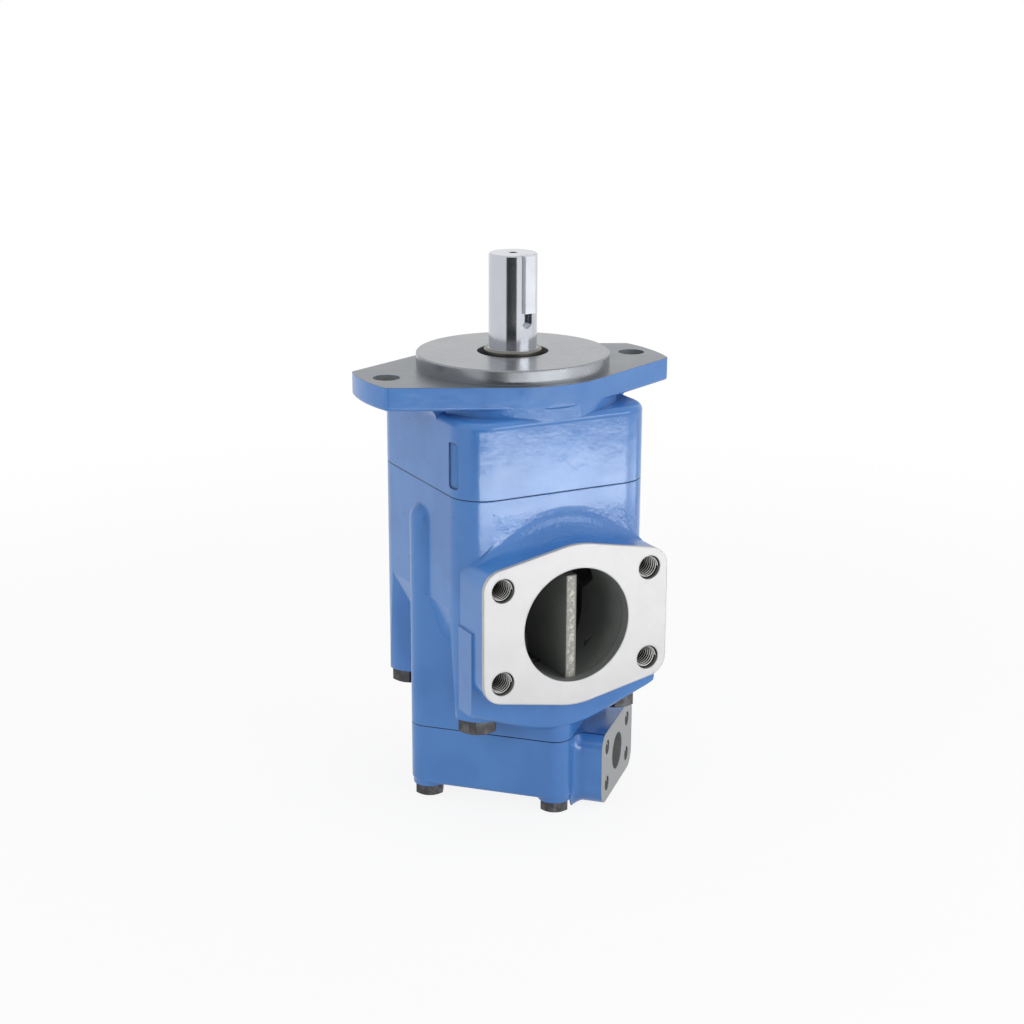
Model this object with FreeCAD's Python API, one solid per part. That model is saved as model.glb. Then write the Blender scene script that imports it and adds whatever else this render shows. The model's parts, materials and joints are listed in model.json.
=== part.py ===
import FreeCAD
import Part
import math
import os

V = FreeCAD.Vector

# Double vane pump. Millimetres. The origin is on the shaft axis at the mounting face, +Z runs out
# along the shaft, the suction port faces -Y and the flange ears point along X.

# Mounting flange and pilot
FLANGE_BOLT_SPAN = 181.0
FLANGE_HOLE_D = 17.5
FLANGE_THICKNESS = 15.3
FLANGE_EDGE_R = 2.0
EAR_MARGIN = 16.0
EAR_HALF_WIDTH = 27.0
EAR_CORNER_R = 4.0
PILOT_D = 127.0
PILOT_H = 9.4
PILOT_CHAMFER = 0.8
WAIST_MARGIN = 5.5
NECK_INSET_X = 5.6
NECK_INSET_Y = 0.6
NECK_H = 4.7

# Walls of the castings round what they hold
BODY_WALL = 9.3
BODY_CORNER_R = 22.0
BODY_SHOULDER_R = 5.0
COVER_WALL = 8.2
COVER_CORNER_R = 12.0
COVER_FLOOR = 11.3
COVER_BOTTOM_RISE = 2.2
COVER_EDGE_R = 3.0
COVER_BOSS_INSET = 0.8
SEAM_CHAMFER = 0.4
SQUARE_LENGTH = 76.3
PASSAGE_LENGTH = 72.0
COLUMN_RISE = 21.0
COLUMN_TOP_R = 18.0
COLUMN_END_R = 15.2
COLUMN_ROOT = 30.0
HEAD_POCKET_GAP = 1.5
SKIRT_H = 34.0
SKIRT_INSET = 8.3
RIB_DROP = 14.3

# Bare recess on the side of the front body
SIDE_RECESS_W = 10.0
SIDE_RECESS_H = 30.0
SIDE_RECESS_DEPTH = 49.0
SIDE_RECESS_OFFSET = 49.5
SIDE_RECESS_FLOOR = 1.0

# Bolts that hold the castings together
BODY_BOLT_INSET = 16.2
BODY_BOLT_D = 16.0
BODY_BOLT_FLATS = 24.0
BODY_BOLT_HEAD_H = 9.6
BODY_BOLT_THREAD_L = 36.0
COVER_BOLT_D = 12.0
COVER_BOLT_FLATS = 18.0
COVER_BOLT_HEAD_H = 7.7
COVER_BOLT_THREAD_L = 26.0
HOLE_SPARE_L = 2.0
HEAD_BEVEL = 0.5
BOLT_HOLE_GAP = 0.4
THREAD_GAP = 0.05

# Suction port
SUCTION_RISE = 1.3
SUCTION_STAND_OUT = 22.2
SUCTION_BORE_D = 76.2
SUCTION_SPACING_U = 106.4
SUCTION_SPACING_V = 61.9
SUCTION_THREAD_D = 16.0
SUCTION_THREAD_L = 25.0
SUCTION_PAD_CORNER_R = 13.5
SUCTION_RIM = 15.9
SUCTION_PAD_EDGE = 3.0
SUCTION_COVE = 19.0
SUCTION_END_GAP = 2.0
SUCTION_END_SHARE = 0.0
SUCTION_LIP_GROWTH = 24.0
SUCTION_LIP_END_SHARE = 0.7
SUCTION_LIP_SHIFT_U = -14.0
SUCTION_LIP_SHIFT_V = -1.3
SUCTION_LIP_STAND_OUT = 7.2
SUCTION_LIP_R = 6.0
SUCTION_FLANK_INSET = 0.3
COVE_STEPS = 9
ROUND_STEPS = 3
WEB_THICKNESS = 7.3
WEB_SETBACK = 8.0
SUCTION_CORE_STEP = 0.7

# Suction passage round the shaft tunnel
TUNNEL_SHAFT_D = 27.0
TUNNEL_GAP = 6.0
TUNNEL_WALL = 6.0
TUNNEL_FOOT_W = 16.0
TUNNEL_FOOT_H = 7.0
PASSAGE_WIDE_H = 22.0
PASSAGE_TAPER_H = 12.0

# Front outlet port
FRONT_PORT_RISE = 4.0
FRONT_PORT_STAND_OUT = 7.9
FRONT_PORT_BORE_D = 31.8
FRONT_PORT_SPACING_U = 58.7
FRONT_PORT_SPACING_V = 30.2
FRONT_PORT_THREAD_D = 10.0
FRONT_PORT_THREAD_L = 18.0
FRONT_PAD_MARGIN_U = 12.65
FRONT_PAD_MARGIN_V = 9.4
FRONT_PAD_CORNER_R = 12.0
FRONT_PASSAGE_W = 28.0

# Rear outlet port
REAR_PORT_DROP = 24.6
REAR_PORT_STAND_OUT = 19.6
REAR_PORT_BORE_D = 25.4
REAR_PORT_SPACING_U = 52.4
REAR_PORT_SPACING_V = 26.2
REAR_PORT_THREAD_D = 10.0
REAR_PORT_THREAD_L = 18.0
REAR_PAD_MARGIN_U = 14.3
REAR_PAD_MARGIN_V = 11.9
REAR_PAD_CORNER_R = 11.0
REAR_PAD_COVE_R = 6.0
REAR_PAD_BACK = 1.0
REAR_PASSAGE_W = 20.4

# Shaft and key
SHAFT_D = 31.75
SHAFT_LENGTH = 73.8
SHAFT_CHAMFER = 0.8
CENTRE_HOLE_D = 5.5
CENTRE_HOLE_L = 9.0
JOURNAL_D = 38.0
JOURNAL_PROUD = 2.5
JOURNAL_CHAMFER = 1.0
KEY_W = 7.94
KEY_STAND_OUT = 3.52
KEY_TURN = 8.5
KEY_L = 37.2
KEYWAY_L = 47.6
SHAFT_COLLAR_RISE = 3.5
SHAFT_COLLAR_W = 4.0
SHAFT_WAIST_D = 36.0
REAR_JOURNAL_D = 22.0
REAR_JOURNAL_L = 20.0
SHAFT_END_GAP = 0.5
SPLINE_TEETH = 12
SPLINE_TOOTH_W = 3.8
FRONT_SPLINE_D = 32.0
REAR_SPLINE_D = 25.0
SPLINE_DEPTH = 1.6
SPLINE_CORE_GAP = 0.3
SPLINE_RUN_OUT = 4.0

# Shaft seal
RECESS_D = 47.0
SEAL_D = 52.0
SEAL_W = 8.0
SEAL_FACE_HEIGHT = 3.0
SEAL_WALL = 1.6
SEAL_LIP_DROP = 4.6
SEAL_LIP_WALL = 1.6
SEAL_SPRING_D = 1.6
SEAL_BORE_RING = 10.0

# Ball bearing
BEARING_D = 80.0
BEARING_BORE_D = 40.0
BEARING_W = 18.0
BEARING_DEPTH = 8.0
BALL_D = 12.0
BALL_COUNT = 9
RACE_LIP = 2.4
CAGE_LIP = 1.3
CAGE_WALL = 2.0
RETAINING_RING_W = 2.5
RETAINING_RING_GROOVE = 1.75
RETAINING_RING_WALL = 5.0
RETAINING_RING_OPENING = 12.0
SHAFT_RING_W = 1.75
SHAFT_RING_GROOVE = 1.25
SHAFT_RING_WALL = 3.4
SHAFT_RING_OPENING = 8.0

# Clearances
PRESS_GAP = 0.02
RUNNING_GAP = 0.05
SPLINE_GAP = 0.04
SIDE_GAP = 0.03
PLATE_GAP = 0.05
CAVITY_GAP = 2.5
SHAFT_BORE_GAP = 1.5
HUB_GAP = 2.5

# Ring seals in the two seams and on the support plates
SEAL_CORD_D = 2.5
SEAL_GROOVE_W = 3.0
SEAM_SEAL_WALL = 1.8

# Vane cartridges: ten vanes each, front and rear sizes
VANE_COUNT = 10
FIRST_VANE_TURN = 9.0
CAM_DWELL = 18.0
CAM_POINTS = 60
VANE_THICKNESS = 2.4
VANE_TIP_GAP = 0.1
CAM_MIN_GAP = 0.2
TIP_CROWN = 0.5
VANE_FOOT_GAP = 0.5
INSERT_TOP_GAP = 0.1
CARTRIDGE_SCREW_D = 5.0
CARTRIDGE_SCREW_HEAD_D = 8.5
CARTRIDGE_SCREW_HEAD_H = 5.0
SCREW_SOCKET_FLATS = 4.0
SCREW_SOCKET_DEPTH = 2.5
DOWEL_D = 5.0
DOWEL_BITE = 3.5
KIDNEY_SPAN = 46.0
KIDNEY_REACH = 6.0
KIDNEY_LIP = 0.5
SCOOP_SHARE = 0.6
OUTLET_PORT_WALL = 2.0
BUSH_WALL = 3.0
INLET_CENTRES = (45, 225)
OUTLET_CENTRES = (135, 315)

FRONT_RING_D = 113.0
FRONT_RING_W = 36.0
FRONT_ROTOR_D = 72.0
FRONT_STROKE = 4.3
FRONT_SLOT_DEPTH = 14.1
FRONT_SIDE_PLATE_W = 3.0
FRONT_RIM_W = 6.0
FRONT_INLET_PLATE_W = 10.0
FRONT_SEAT_STEP = 4.5
FRONT_PLUG_W = 8.0
FRONT_WAIST_D = 60.0
FRONT_HUB_W = 5.0
FRONT_CHAMBER_W = 16.0
FRONT_INSERT_H = 6.0
FRONT_INSERT_W = 12.0
FRONT_SEAT_DEPTH = 9.7

REAR_RING_D = 91.0
REAR_RING_W = 28.0
REAR_ROTOR_D = 56.0
REAR_STROKE = 3.8
REAR_SLOT_DEPTH = 11.0
REAR_SIDE_PLATE_W = 2.5
REAR_RIM_W = 7.0
REAR_INLET_PLATE_W = 11.0
REAR_SEAT_STEP = 5.5
REAR_PLUG_W = 8.0
REAR_WAIST_D = 46.0
REAR_HUB_D = 56.0
REAR_HUB_W = 6.0
REAR_CHAMBER_W = 15.0
REAR_INSERT_H = 5.0
REAR_INSERT_W = 9.0
REAR_SEAT_DEPTH = 1.5


class Cartridge:
    """One vane cartridge, stacked from its outlet end to its inlet end, with its shaft's spline."""

    def __init__(self, start, way, ring, rotor, plates, spool, insert, bores):
        ring_d, self.ring_w = ring
        rotor_d, slot_depth, self.stroke = rotor
        self.rim_w, self.side_w, self.inlet_w = plates
        seat_step, self.plug_w, waist_d, self.chamber_w, self.hub_r, self.hub_w = spool
        self.insert_h, self.insert_w = insert
        self.spline_r, self.bore_r, self.plate_bore_r = bores
        self.way = way
        self.ring_r = ring_d / 2
        self.rotor_r = rotor_d / 2
        self.slot_r = self.rotor_r - slot_depth
        self.plug_r = self.ring_r - seat_step
        self.waist_r = waist_d / 2
        self.cam_r = self.rotor_r + CAM_MIN_GAP
        self.pin_r = (self.cam_r + self.stroke + self.ring_r) / 2
        self.cavity_r = self.ring_r + CAVITY_GAP
        self.rim = start
        self.plug = self.rim - way * self.plug_w
        self.hub = self.plug - way * self.chamber_w
        self.back = self.hub - way * self.hub_w
        self.outer = self.rim + way * self.rim_w
        self.ring = self.outer + way * self.side_w
        self.inner = self.ring + way * self.ring_w
        self.inlet = self.inner + way * self.side_w
        self.end = self.inlet + way * self.inlet_w

    def span(self, start, width):
        """Returns the low and high z of a slice that starts at a face of the stack."""
        return sorted((start, start + self.way * width))


# z of the faces, stacked down from the mounting face
BEARING_TOP = -BEARING_DEPTH
BEARING_END = BEARING_TOP - BEARING_W
RETAINING_RING_END = BEARING_END - RETAINING_RING_W
BALL_Z = BEARING_TOP - BEARING_W / 2
BALL_R = (BEARING_D + BEARING_BORE_D) / 4
SEAL_TOP = SEAL_FACE_HEIGHT
SEAL_END = SEAL_TOP - SEAL_W
JOURNAL_TOP = PILOT_H + JOURNAL_PROUD
SHOULDER = -FLANGE_THICKNESS - NECK_H

FRONT = Cartridge(
    RETAINING_RING_END - HUB_GAP - FRONT_HUB_W - FRONT_CHAMBER_W - FRONT_PLUG_W, -1,
    (FRONT_RING_D, FRONT_RING_W), (FRONT_ROTOR_D, FRONT_SLOT_DEPTH, FRONT_STROKE),
    (FRONT_RIM_W, FRONT_SIDE_PLATE_W, FRONT_INLET_PLATE_W),
    (FRONT_SEAT_STEP, FRONT_PLUG_W, FRONT_WAIST_D, FRONT_CHAMBER_W, BEARING_D / 2, FRONT_HUB_W),
    (FRONT_INSERT_H, FRONT_INSERT_W),
    (FRONT_SPLINE_D / 2, SHAFT_WAIST_D / 2 + SHAFT_BORE_GAP, SHAFT_WAIST_D / 2 + SHAFT_BORE_GAP))
FRONT_SEAM = FRONT.rim - FRONT_SEAT_DEPTH

REAR_STACK_H = REAR_RIM_W + 2 * REAR_SIDE_PLATE_W + REAR_RING_W + REAR_INLET_PLATE_W
REAR = Cartridge(
    FRONT.end - PASSAGE_LENGTH - REAR_STACK_H, 1,
    (REAR_RING_D, REAR_RING_W), (REAR_ROTOR_D, REAR_SLOT_DEPTH, REAR_STROKE),
    (REAR_RIM_W, REAR_SIDE_PLATE_W, REAR_INLET_PLATE_W),
    (REAR_SEAT_STEP, REAR_PLUG_W, REAR_WAIST_D, REAR_CHAMBER_W, REAR_HUB_D / 2, REAR_HUB_W),
    (REAR_INSERT_H, REAR_INSERT_W),
    (REAR_SPLINE_D / 2, REAR_SPLINE_D / 2 + SHAFT_BORE_GAP,
     REAR_JOURNAL_D / 2 + BUSH_WALL + PRESS_GAP))
REAR_SEAM = REAR.rim + REAR_SEAT_DEPTH
COVER_BOTTOM = REAR.back - COVER_FLOOR
COVER_SEAT = COVER_BOTTOM - COVER_BOTTOM_RISE
COLUMN_START = FRONT_SEAM - SQUARE_LENGTH
COLUMN_END = REAR_SEAM + COLUMN_RISE

# Half widths of the castings and places round the axis
BODY_HALF = FRONT.cavity_r + BODY_WALL
COVER_HALF = REAR.cavity_r + COVER_WALL
BODY_BOLT_CIRCLE_R = (BODY_HALF - BODY_BOLT_INSET) * math.sqrt(2)
COVER_BOLT_CIRCLE_R = (COVER_HALF - COVER_CORNER_R) * math.sqrt(2)
EAR_REACH = FLANGE_BOLT_SPAN / 2 + EAR_MARGIN
WAIST_R = PILOT_D / 2 + WAIST_MARGIN
KEY_TOP_R = SHAFT_D / 2 + KEY_STAND_OUT
TUNNEL_R = TUNNEL_SHAFT_D / 2 + TUNNEL_GAP

# Ports: depth below the mounting face and distance of the face from the axis
SUCTION_DEPTH = PASSAGE_LENGTH / 2 - FRONT.end - SUCTION_RISE
SUCTION_FACE = BODY_HALF + SUCTION_STAND_OUT
FRONT_PORT_DEPTH = -(FRONT.plug + FRONT.hub) / 2 - FRONT_PORT_RISE
FRONT_PORT_FACE = BODY_HALF + FRONT_PORT_STAND_OUT
REAR_PORT_DEPTH = REAR_PORT_DROP - REAR_SEAM
REAR_PORT_FACE = COVER_HALF + REAR_PORT_STAND_OUT


def cyl(radius, low, high, x=0.0, y=0.0):
    """Upright cylinder between two heights."""
    return Part.makeCylinder(radius, high - low, V(x, y, low))


def tube(inner, outer, low, high):
    """Upright tube between two heights."""
    return cyl(outer, low, high).cut(cyl(inner, low - 1, high + 1))


def box(x0, x1, y0, y1, z0, z1):
    """Box between two corners."""
    return Part.makeBox(x1 - x0, y1 - y0, z1 - z0, V(x0, y0, z0))


def turned(shape, angle):
    """Copy of a shape turned about the shaft axis."""
    copy = shape.copy()
    copy.rotate(V(0, 0, 0), V(0, 0, 1), angle)
    return copy


def revolve(points, angle=360):
    """Solid of revolution about the shaft axis from (radius, z) points."""
    wire = Part.makePolygon([V(r, 0, z) for r, z in points + points[:1]])
    return Part.Face(wire).revolve(V(0, 0, 0), V(0, 0, 1), angle)


def torus(radius, section, z):
    """Ring of round section about the shaft axis."""
    return Part.makeTorus(radius, section, V(0, 0, z))


def arc(centre, radius, start, end):
    """Arc edge in the XY plane, from one angle in degrees to another."""
    points = []
    for angle in (start, (start + end) / 2, end):
        a = math.radians(angle)
        points.append(centre + V(radius * math.cos(a), radius * math.sin(a), 0))
    return Part.Arc(*points).toShape()


def joined(arcs):
    """Closed wire through a list of arcs, with straight edges between them."""
    edges = []
    for i, edge in enumerate(arcs):
        edges.append(edge)
        start = edge.valueAt(edge.LastParameter)
        following = arcs[(i + 1) % len(arcs)]
        end = following.valueAt(following.FirstParameter)
        if start.distanceToPoint(end) > 1e-6:
            edges.append(Part.makeLine(start, end))
    return Part.Wire(edges)


def rounded_rectangle(half_u, half_v, radius):
    """Wire of a rectangle with round corners, in the XY plane."""
    arcs = []
    for i, (su, sv) in enumerate(((1, 1), (-1, 1), (-1, -1), (1, -1))):
        centre = V(su * (half_u - radius), sv * (half_v - radius), 0)
        arcs.append(arc(centre, radius, 90 * i, 90 * i + 90))
    return joined(arcs)


def upright(wire, low, high):
    """Prism of an XY wire between two heights."""
    base = wire.copy()
    base.translate(V(0, 0, low))
    return Part.Face(base).extrude(V(0, 0, high - low))


def facing(wire, out, depth):
    """An XY wire stood up to face +X, at a distance from the axis and a depth below the flange."""
    stood = wire.copy()
    stood.Placement = FreeCAD.Placement(V(out, 0, -depth), FreeCAD.Rotation(V(1, 1, 1), 120))
    return stood


def facing_prism(wire, depth, start, end):
    """Prism of an outline that faces +X, between two distances from the axis."""
    return Part.Face(facing(wire, start, depth)).extrude(V(end - start, 0, 0))


def across(radius, depth, start, end, u=0.0, v=0.0):
    """Cylinder along +X between two distances from the axis, at a depth below the flange."""
    return Part.makeCylinder(radius, end - start, V(start, u, v - depth), V(1, 0, 0))


def corners(u, v):
    """The four corners of a bolt rectangle with the given spacings."""
    return [(su * u / 2, sv * v / 2) for su in (-1, 1) for sv in (-1, 1)]


def polar(radius, angle):
    """Point at a radius and an angle in degrees."""
    a = math.radians(angle)
    return V(radius * math.cos(a), radius * math.sin(a), 0)


def sector(r0, r1, centre, span, low, high):
    """Annular sector, centred on an angle."""
    points = [(r0, low), (r1, low), (r1, high), (r0, high)]
    return turned(revolve(points, span), centre - span / 2)


def body_bolt_places():
    """Centres of the four long body bolts, on the diagonals."""
    return [polar(BODY_BOLT_CIRCLE_R, 45 + 90 * i) for i in range(4)]


def cover_bolt_places():
    """Centres of the four rear cover bolts, on the X and Y axes."""
    return [polar(COVER_BOLT_CIRCLE_R, angle) for angle in (0, 90, 180, 270)]


def square_outline():
    """Outline of the front and inlet bodies."""
    return rounded_rectangle(BODY_HALF, BODY_HALF, BODY_CORNER_R)


def cover_outline():
    """Outline of the rear cover, a square turned by 45 degrees round its bolts."""
    return turned(rounded_rectangle(COVER_HALF, COVER_HALF, COVER_CORNER_R), 45)


def edges_at(shape, z):
    """Edges of a shape that lie flat at a height."""
    return [e for e in shape.Edges if all(abs(v.Z - z) < 1e-6 for v in e.Vertexes)]


def flange_outline():
    """Two-bolt flange: round waist, straight flanks and ear ends that are arcs about the axis."""
    ear = math.degrees(math.asin(EAR_HALF_WIDTH / EAR_REACH))
    flank = ear + math.degrees(math.acos(WAIST_R / EAR_REACH))
    origin = V(0, 0, 0)
    return joined([
        arc(origin, EAR_REACH, -ear, ear),
        arc(origin, WAIST_R, flank, 180 - flank),
        arc(origin, EAR_REACH, 180 - ear, 180 + ear),
        arc(origin, WAIST_R, 180 + flank, 360 - flank),
    ])


def flange_plate():
    """Flange plate with its ear corners and its lower edge rounded."""
    plate = upright(flange_outline(), -FLANGE_THICKNESS, 0)
    corner_edges = []
    for edge in plate.Edges:
        a, b = edge.Vertexes[0].Point, edge.Vertexes[-1].Point
        is_upright = math.hypot(a.x - b.x, a.y - b.y) < 1e-6
        if is_upright and math.hypot(a.x, a.y) > (EAR_REACH + WAIST_R) / 2:
            corner_edges.append(edge)
    plate = plate.makeFillet(EAR_CORNER_R, corner_edges)
    return plate.makeFillet(FLANGE_EDGE_R, edges_at(plate, -FLANGE_THICKNESS))


def neck():
    """Neck between the flange and the square body: round at the corners, flat on the sides."""
    low, high = SHOULDER - BODY_SHOULDER_R, -FLANGE_THICKNESS / 2
    flats = upright(rounded_rectangle(BODY_HALF - NECK_INSET_X, BODY_HALF - NECK_INSET_Y,
                                      BODY_CORNER_R), low, high)
    return cyl(WAIST_R, low, high).common(flats)


def ear_coves():
    """Coves between the body's sides and the undersides of the two ears."""
    drop = -SHOULDER - FLANGE_THICKNESS + BODY_SHOULDER_R
    top = -FLANGE_THICKNESS
    coves = []
    for side in (0, 180):
        block = box(BODY_HALF - BODY_SHOULDER_R, BODY_HALF + drop, -EAR_HALF_WIDTH, EAR_HALF_WIDTH,
                    top - drop, top + FLANGE_EDGE_R)
        hollow = Part.makeCylinder(drop, 2 * EAR_HALF_WIDTH + 2,
                                   V(BODY_HALF + drop, -EAR_HALF_WIDTH - 1, top - drop), V(0, 1, 0))
        coves.append(turned(block.cut(hollow), side))
    return coves


def front_port_tools():
    """Bore, passage and threaded holes of the front outlet, facing +X."""
    seat_r = FRONT.plug_r + PLATE_GAP
    tools = [across(FRONT_PORT_BORE_D / 2, FRONT_PORT_DEPTH, seat_r, FRONT_PORT_FACE + 1)]
    tools.append(box(FRONT.waist_r, seat_r + 1, -FRONT_PASSAGE_W / 2, FRONT_PASSAGE_W / 2,
                     FRONT.plug, FRONT.hub))
    for u, v in corners(FRONT_PORT_SPACING_U, FRONT_PORT_SPACING_V):
        tools.append(across(FRONT_PORT_THREAD_D / 2, FRONT_PORT_DEPTH,
                            FRONT_PORT_FACE - FRONT_PORT_THREAD_L, FRONT_PORT_FACE + 1, u, v))
    return [turned(tool, 90) for tool in tools]


def side_recess():
    """Bare shallow recess on the -X side of the front body, near the suction side."""
    wire = rounded_rectangle(SIDE_RECESS_W / 2, SIDE_RECESS_H / 2, SIDE_RECESS_W / 4)
    start = BODY_HALF - SIDE_RECESS_FLOOR
    block = facing_prism(wire, SIDE_RECESS_DEPTH, 0, BODY_HALF + 1)
    block.translate(V(0, SIDE_RECESS_OFFSET, 0))
    floor = upright(rounded_rectangle(start, start, BODY_CORNER_R - SIDE_RECESS_FLOOR),
                    FRONT_SEAM, SHOULDER)
    return turned(block, 180).cut(floor)


def front_body():
    """Front casting: flange, pilot, bearing and seal seats, outlet chamber and front outlet."""
    square = upright(square_outline(), FRONT_SEAM, SHOULDER)
    square = square.makeFillet(BODY_SHOULDER_R, edges_at(square, SHOULDER))
    square = square.makeChamfer(SEAM_CHAMFER, edges_at(square, FRONT_SEAM))
    pilot_r = PILOT_D / 2
    pilot = revolve([(0, -1), (pilot_r, -1), (pilot_r, PILOT_H - PILOT_CHAMFER),
                     (pilot_r - PILOT_CHAMFER, PILOT_H), (0, PILOT_H)])
    pad_wire = rounded_rectangle(FRONT_PORT_SPACING_U / 2 + FRONT_PAD_MARGIN_U,
                                 FRONT_PORT_SPACING_V / 2 + FRONT_PAD_MARGIN_V, FRONT_PAD_CORNER_R)
    pad = facing_prism(pad_wire, FRONT_PORT_DEPTH, FRONT.cavity_r, FRONT_PORT_FACE)
    body = flange_plate().multiFuse([square, neck(), pilot, turned(pad, 90)] + ear_coves())
    body = body.removeSplitter()

    holes = [cyl(FLANGE_HOLE_D / 2, -FLANGE_THICKNESS - 1, 1, s * FLANGE_BOLT_SPAN / 2)
             for s in (-1, 1)]
    bearing_r = BEARING_D / 2
    holes.append(cyl(RECESS_D / 2, SEAL_TOP - 1, PILOT_H + 1))
    holes.append(cyl(SEAL_D / 2, SEAL_END, SEAL_TOP))
    holes.append(cyl(bearing_r - SEAL_BORE_RING, BEARING_TOP - 1, SEAL_END + 1))
    holes.append(cyl(bearing_r, FRONT.hub - 1, BEARING_TOP))
    holes.append(cyl(bearing_r + RETAINING_RING_GROOVE, RETAINING_RING_END, BEARING_END))
    holes.append(cyl(FRONT.plug_r + PLATE_GAP, FRONT.rim - 1, FRONT.hub))
    holes.append(cyl(FRONT.cavity_r, FRONT_SEAM - 1, FRONT.rim))
    thread_top = FRONT_SEAM + BODY_BOLT_THREAD_L + HOLE_SPARE_L
    for place in body_bolt_places():
        holes.append(cyl(BODY_BOLT_D / 2 + THREAD_GAP, FRONT_SEAM - 1, thread_top, place.x, place.y))
    holes.append(side_recess())
    return body.cut(Part.Compound(holes + front_port_tools()))


def suction_outline(growth, end_share=SUCTION_END_SHARE):
    """Pad outline: round bolt ends tangent to a middle round, which grows more than they do."""
    corner_r = SUCTION_PAD_CORNER_R + end_share * growth
    round_r = SUCTION_BORE_D / 2 + SUCTION_RIM + growth
    centre = V(SUCTION_SPACING_U / 2, SUCTION_SPACING_V / 2, 0)
    bearing = math.degrees(math.atan2(centre.y, centre.x))
    tangent = bearing + math.degrees(math.acos((round_r - corner_r) / centre.Length))
    origin = V(0, 0, 0)
    arcs = []
    for turn in (0, 180):
        flip = FreeCAD.Rotation(V(0, 0, 1), turn)
        right = flip.multVec(centre)
        left = flip.multVec(V(-centre.x, centre.y, 0))
        arcs.append(arc(right, corner_r, turn, turn + tangent))
        arcs.append(arc(origin, round_r, turn + tangent, turn + 180 - tangent))
        arcs.append(arc(left, corner_r, turn + 180 - tangent, turn + 180))
    return joined(arcs)


def suction_cove():
    """Growth of the pad's middle round at the body, limited by the bolt ends that it runs into."""
    end_reach = math.hypot(SUCTION_SPACING_U, SUCTION_SPACING_V) / 2 + SUCTION_PAD_CORNER_R
    return min(SUCTION_COVE, end_reach - SUCTION_BORE_D / 2 - SUCTION_RIM - SUCTION_END_GAP)


def quarter_turn(steps):
    """Cosine and sine at even steps over a quarter turn, for coves and rounded edges."""
    angles = [math.pi / 2 * i / steps for i in range(steps + 1)]
    return [(math.cos(a), math.sin(a)) for a in angles]


def lip_outline(growth):
    """Outline of the lip under the suction pad, shifted from the port's axis."""
    wire = suction_outline(growth, SUCTION_LIP_END_SHARE)
    wire.translate(V(SUCTION_LIP_SHIFT_U, SUCTION_LIP_SHIFT_V, 0))
    return wire


def rear_pad_outline(growth):
    """Outline of the rear outlet pad."""
    return rounded_rectangle(REAR_PORT_SPACING_U / 2 + REAR_PAD_MARGIN_U + growth,
                             REAR_PORT_SPACING_V / 2 + REAR_PAD_MARGIN_V + growth,
                             REAR_PAD_CORNER_R + growth)


def swept(outline, depth, stations):
    """Solid through outlines facing +X, from (distance from the axis, growth) pairs."""
    wires = [facing(outline(growth), out, depth) for out, growth in stations]
    return Part.makeLoft(wires, True, True)


def suction_boss():
    """Suction pad, the cove that spreads from it into the body and the lip below it, facing +X."""
    inside, reach = COVER_HALF, SUCTION_FACE
    pad_back = SUCTION_FACE - SUCTION_PAD_EDGE
    stations = [(SUCTION_FACE, 0)]
    for c, s in quarter_turn(COVE_STEPS):
        stations.append((pad_back - (pad_back - BODY_HALF) * s, suction_cove() * (1 - c)))
    boss = swept(suction_outline, SUCTION_DEPTH, stations + [(inside, suction_cove())])

    r = SUCTION_LIP_R
    lip_back = BODY_HALF + SUCTION_LIP_STAND_OUT - r
    stations = [(lip_back + r * c, SUCTION_LIP_GROWTH - r + r * s)
                for c, s in quarter_turn(ROUND_STEPS)]
    lip = swept(lip_outline, SUCTION_DEPTH, stations + [(inside, SUCTION_LIP_GROWTH)])
    lip = lip.common(box(0, reach, -reach, reach, -SUCTION_DEPTH - 2 * reach, -SUCTION_DEPTH))
    flank = BODY_HALF - SUCTION_FLANK_INSET
    clip = box(0, reach + 1, -flank, flank, REAR_SEAM, FRONT_SEAM)
    return boss.common(clip).fuse(lip.common(clip))


def column(place):
    """Tapered column that carries a body bolt's head, round outside and flat-sided inwards."""
    wires = []
    inward = BODY_BOLT_CIRCLE_R - COVER_HALF + COVER_CORNER_R
    for radius, z in ((COLUMN_END_R, COLUMN_END), (COLUMN_TOP_R, COLUMN_START),
                      (COLUMN_TOP_R, COLUMN_START + COLUMN_ROOT)):
        back_a, back_b = V(-inward, radius, 0), V(-inward, -radius, 0)
        wire = Part.Wire([
            arc(V(0, 0, 0), radius, -90, 90),
            Part.makeLine(V(0, radius, 0), back_a),
            Part.makeLine(back_a, back_b),
            Part.makeLine(back_b, V(0, -radius, 0)),
        ])
        wire.translate(V(BODY_BOLT_CIRCLE_R, 0, z))
        wires.append(wire)
    loft = Part.makeLoft(wires, True, True)
    return turned(loft, math.degrees(math.atan2(place.y, place.x)))


def skirt():
    """Sloping end of the square part, drawn in to the core between the columns."""
    half = BODY_HALF - SKIRT_INSET
    wires = []
    for wire, z in ((square_outline(), COLUMN_START),
                    (rounded_rectangle(half, half, half - 2), COLUMN_START - SKIRT_H)):
        wire.translate(V(0, 0, z))
        wires.append(wire)
    return Part.makeLoft(wires, True, True)


def cover_bolt_ribs():
    """Ribs that carry the cover bolts' bosses up the faces, with round ends, clear of the port."""
    ribs = []
    for place in cover_bolt_places()[:3]:
        top = FRONT_SEAM - RIB_DROP - COVER_CORNER_R
        rib = cyl(COVER_CORNER_R, COLUMN_START - 1, top, place.x, place.y)
        ribs.append(rib.fuse(Part.makeSphere(COVER_CORNER_R, V(place.x, place.y, top))))
    return ribs


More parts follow.
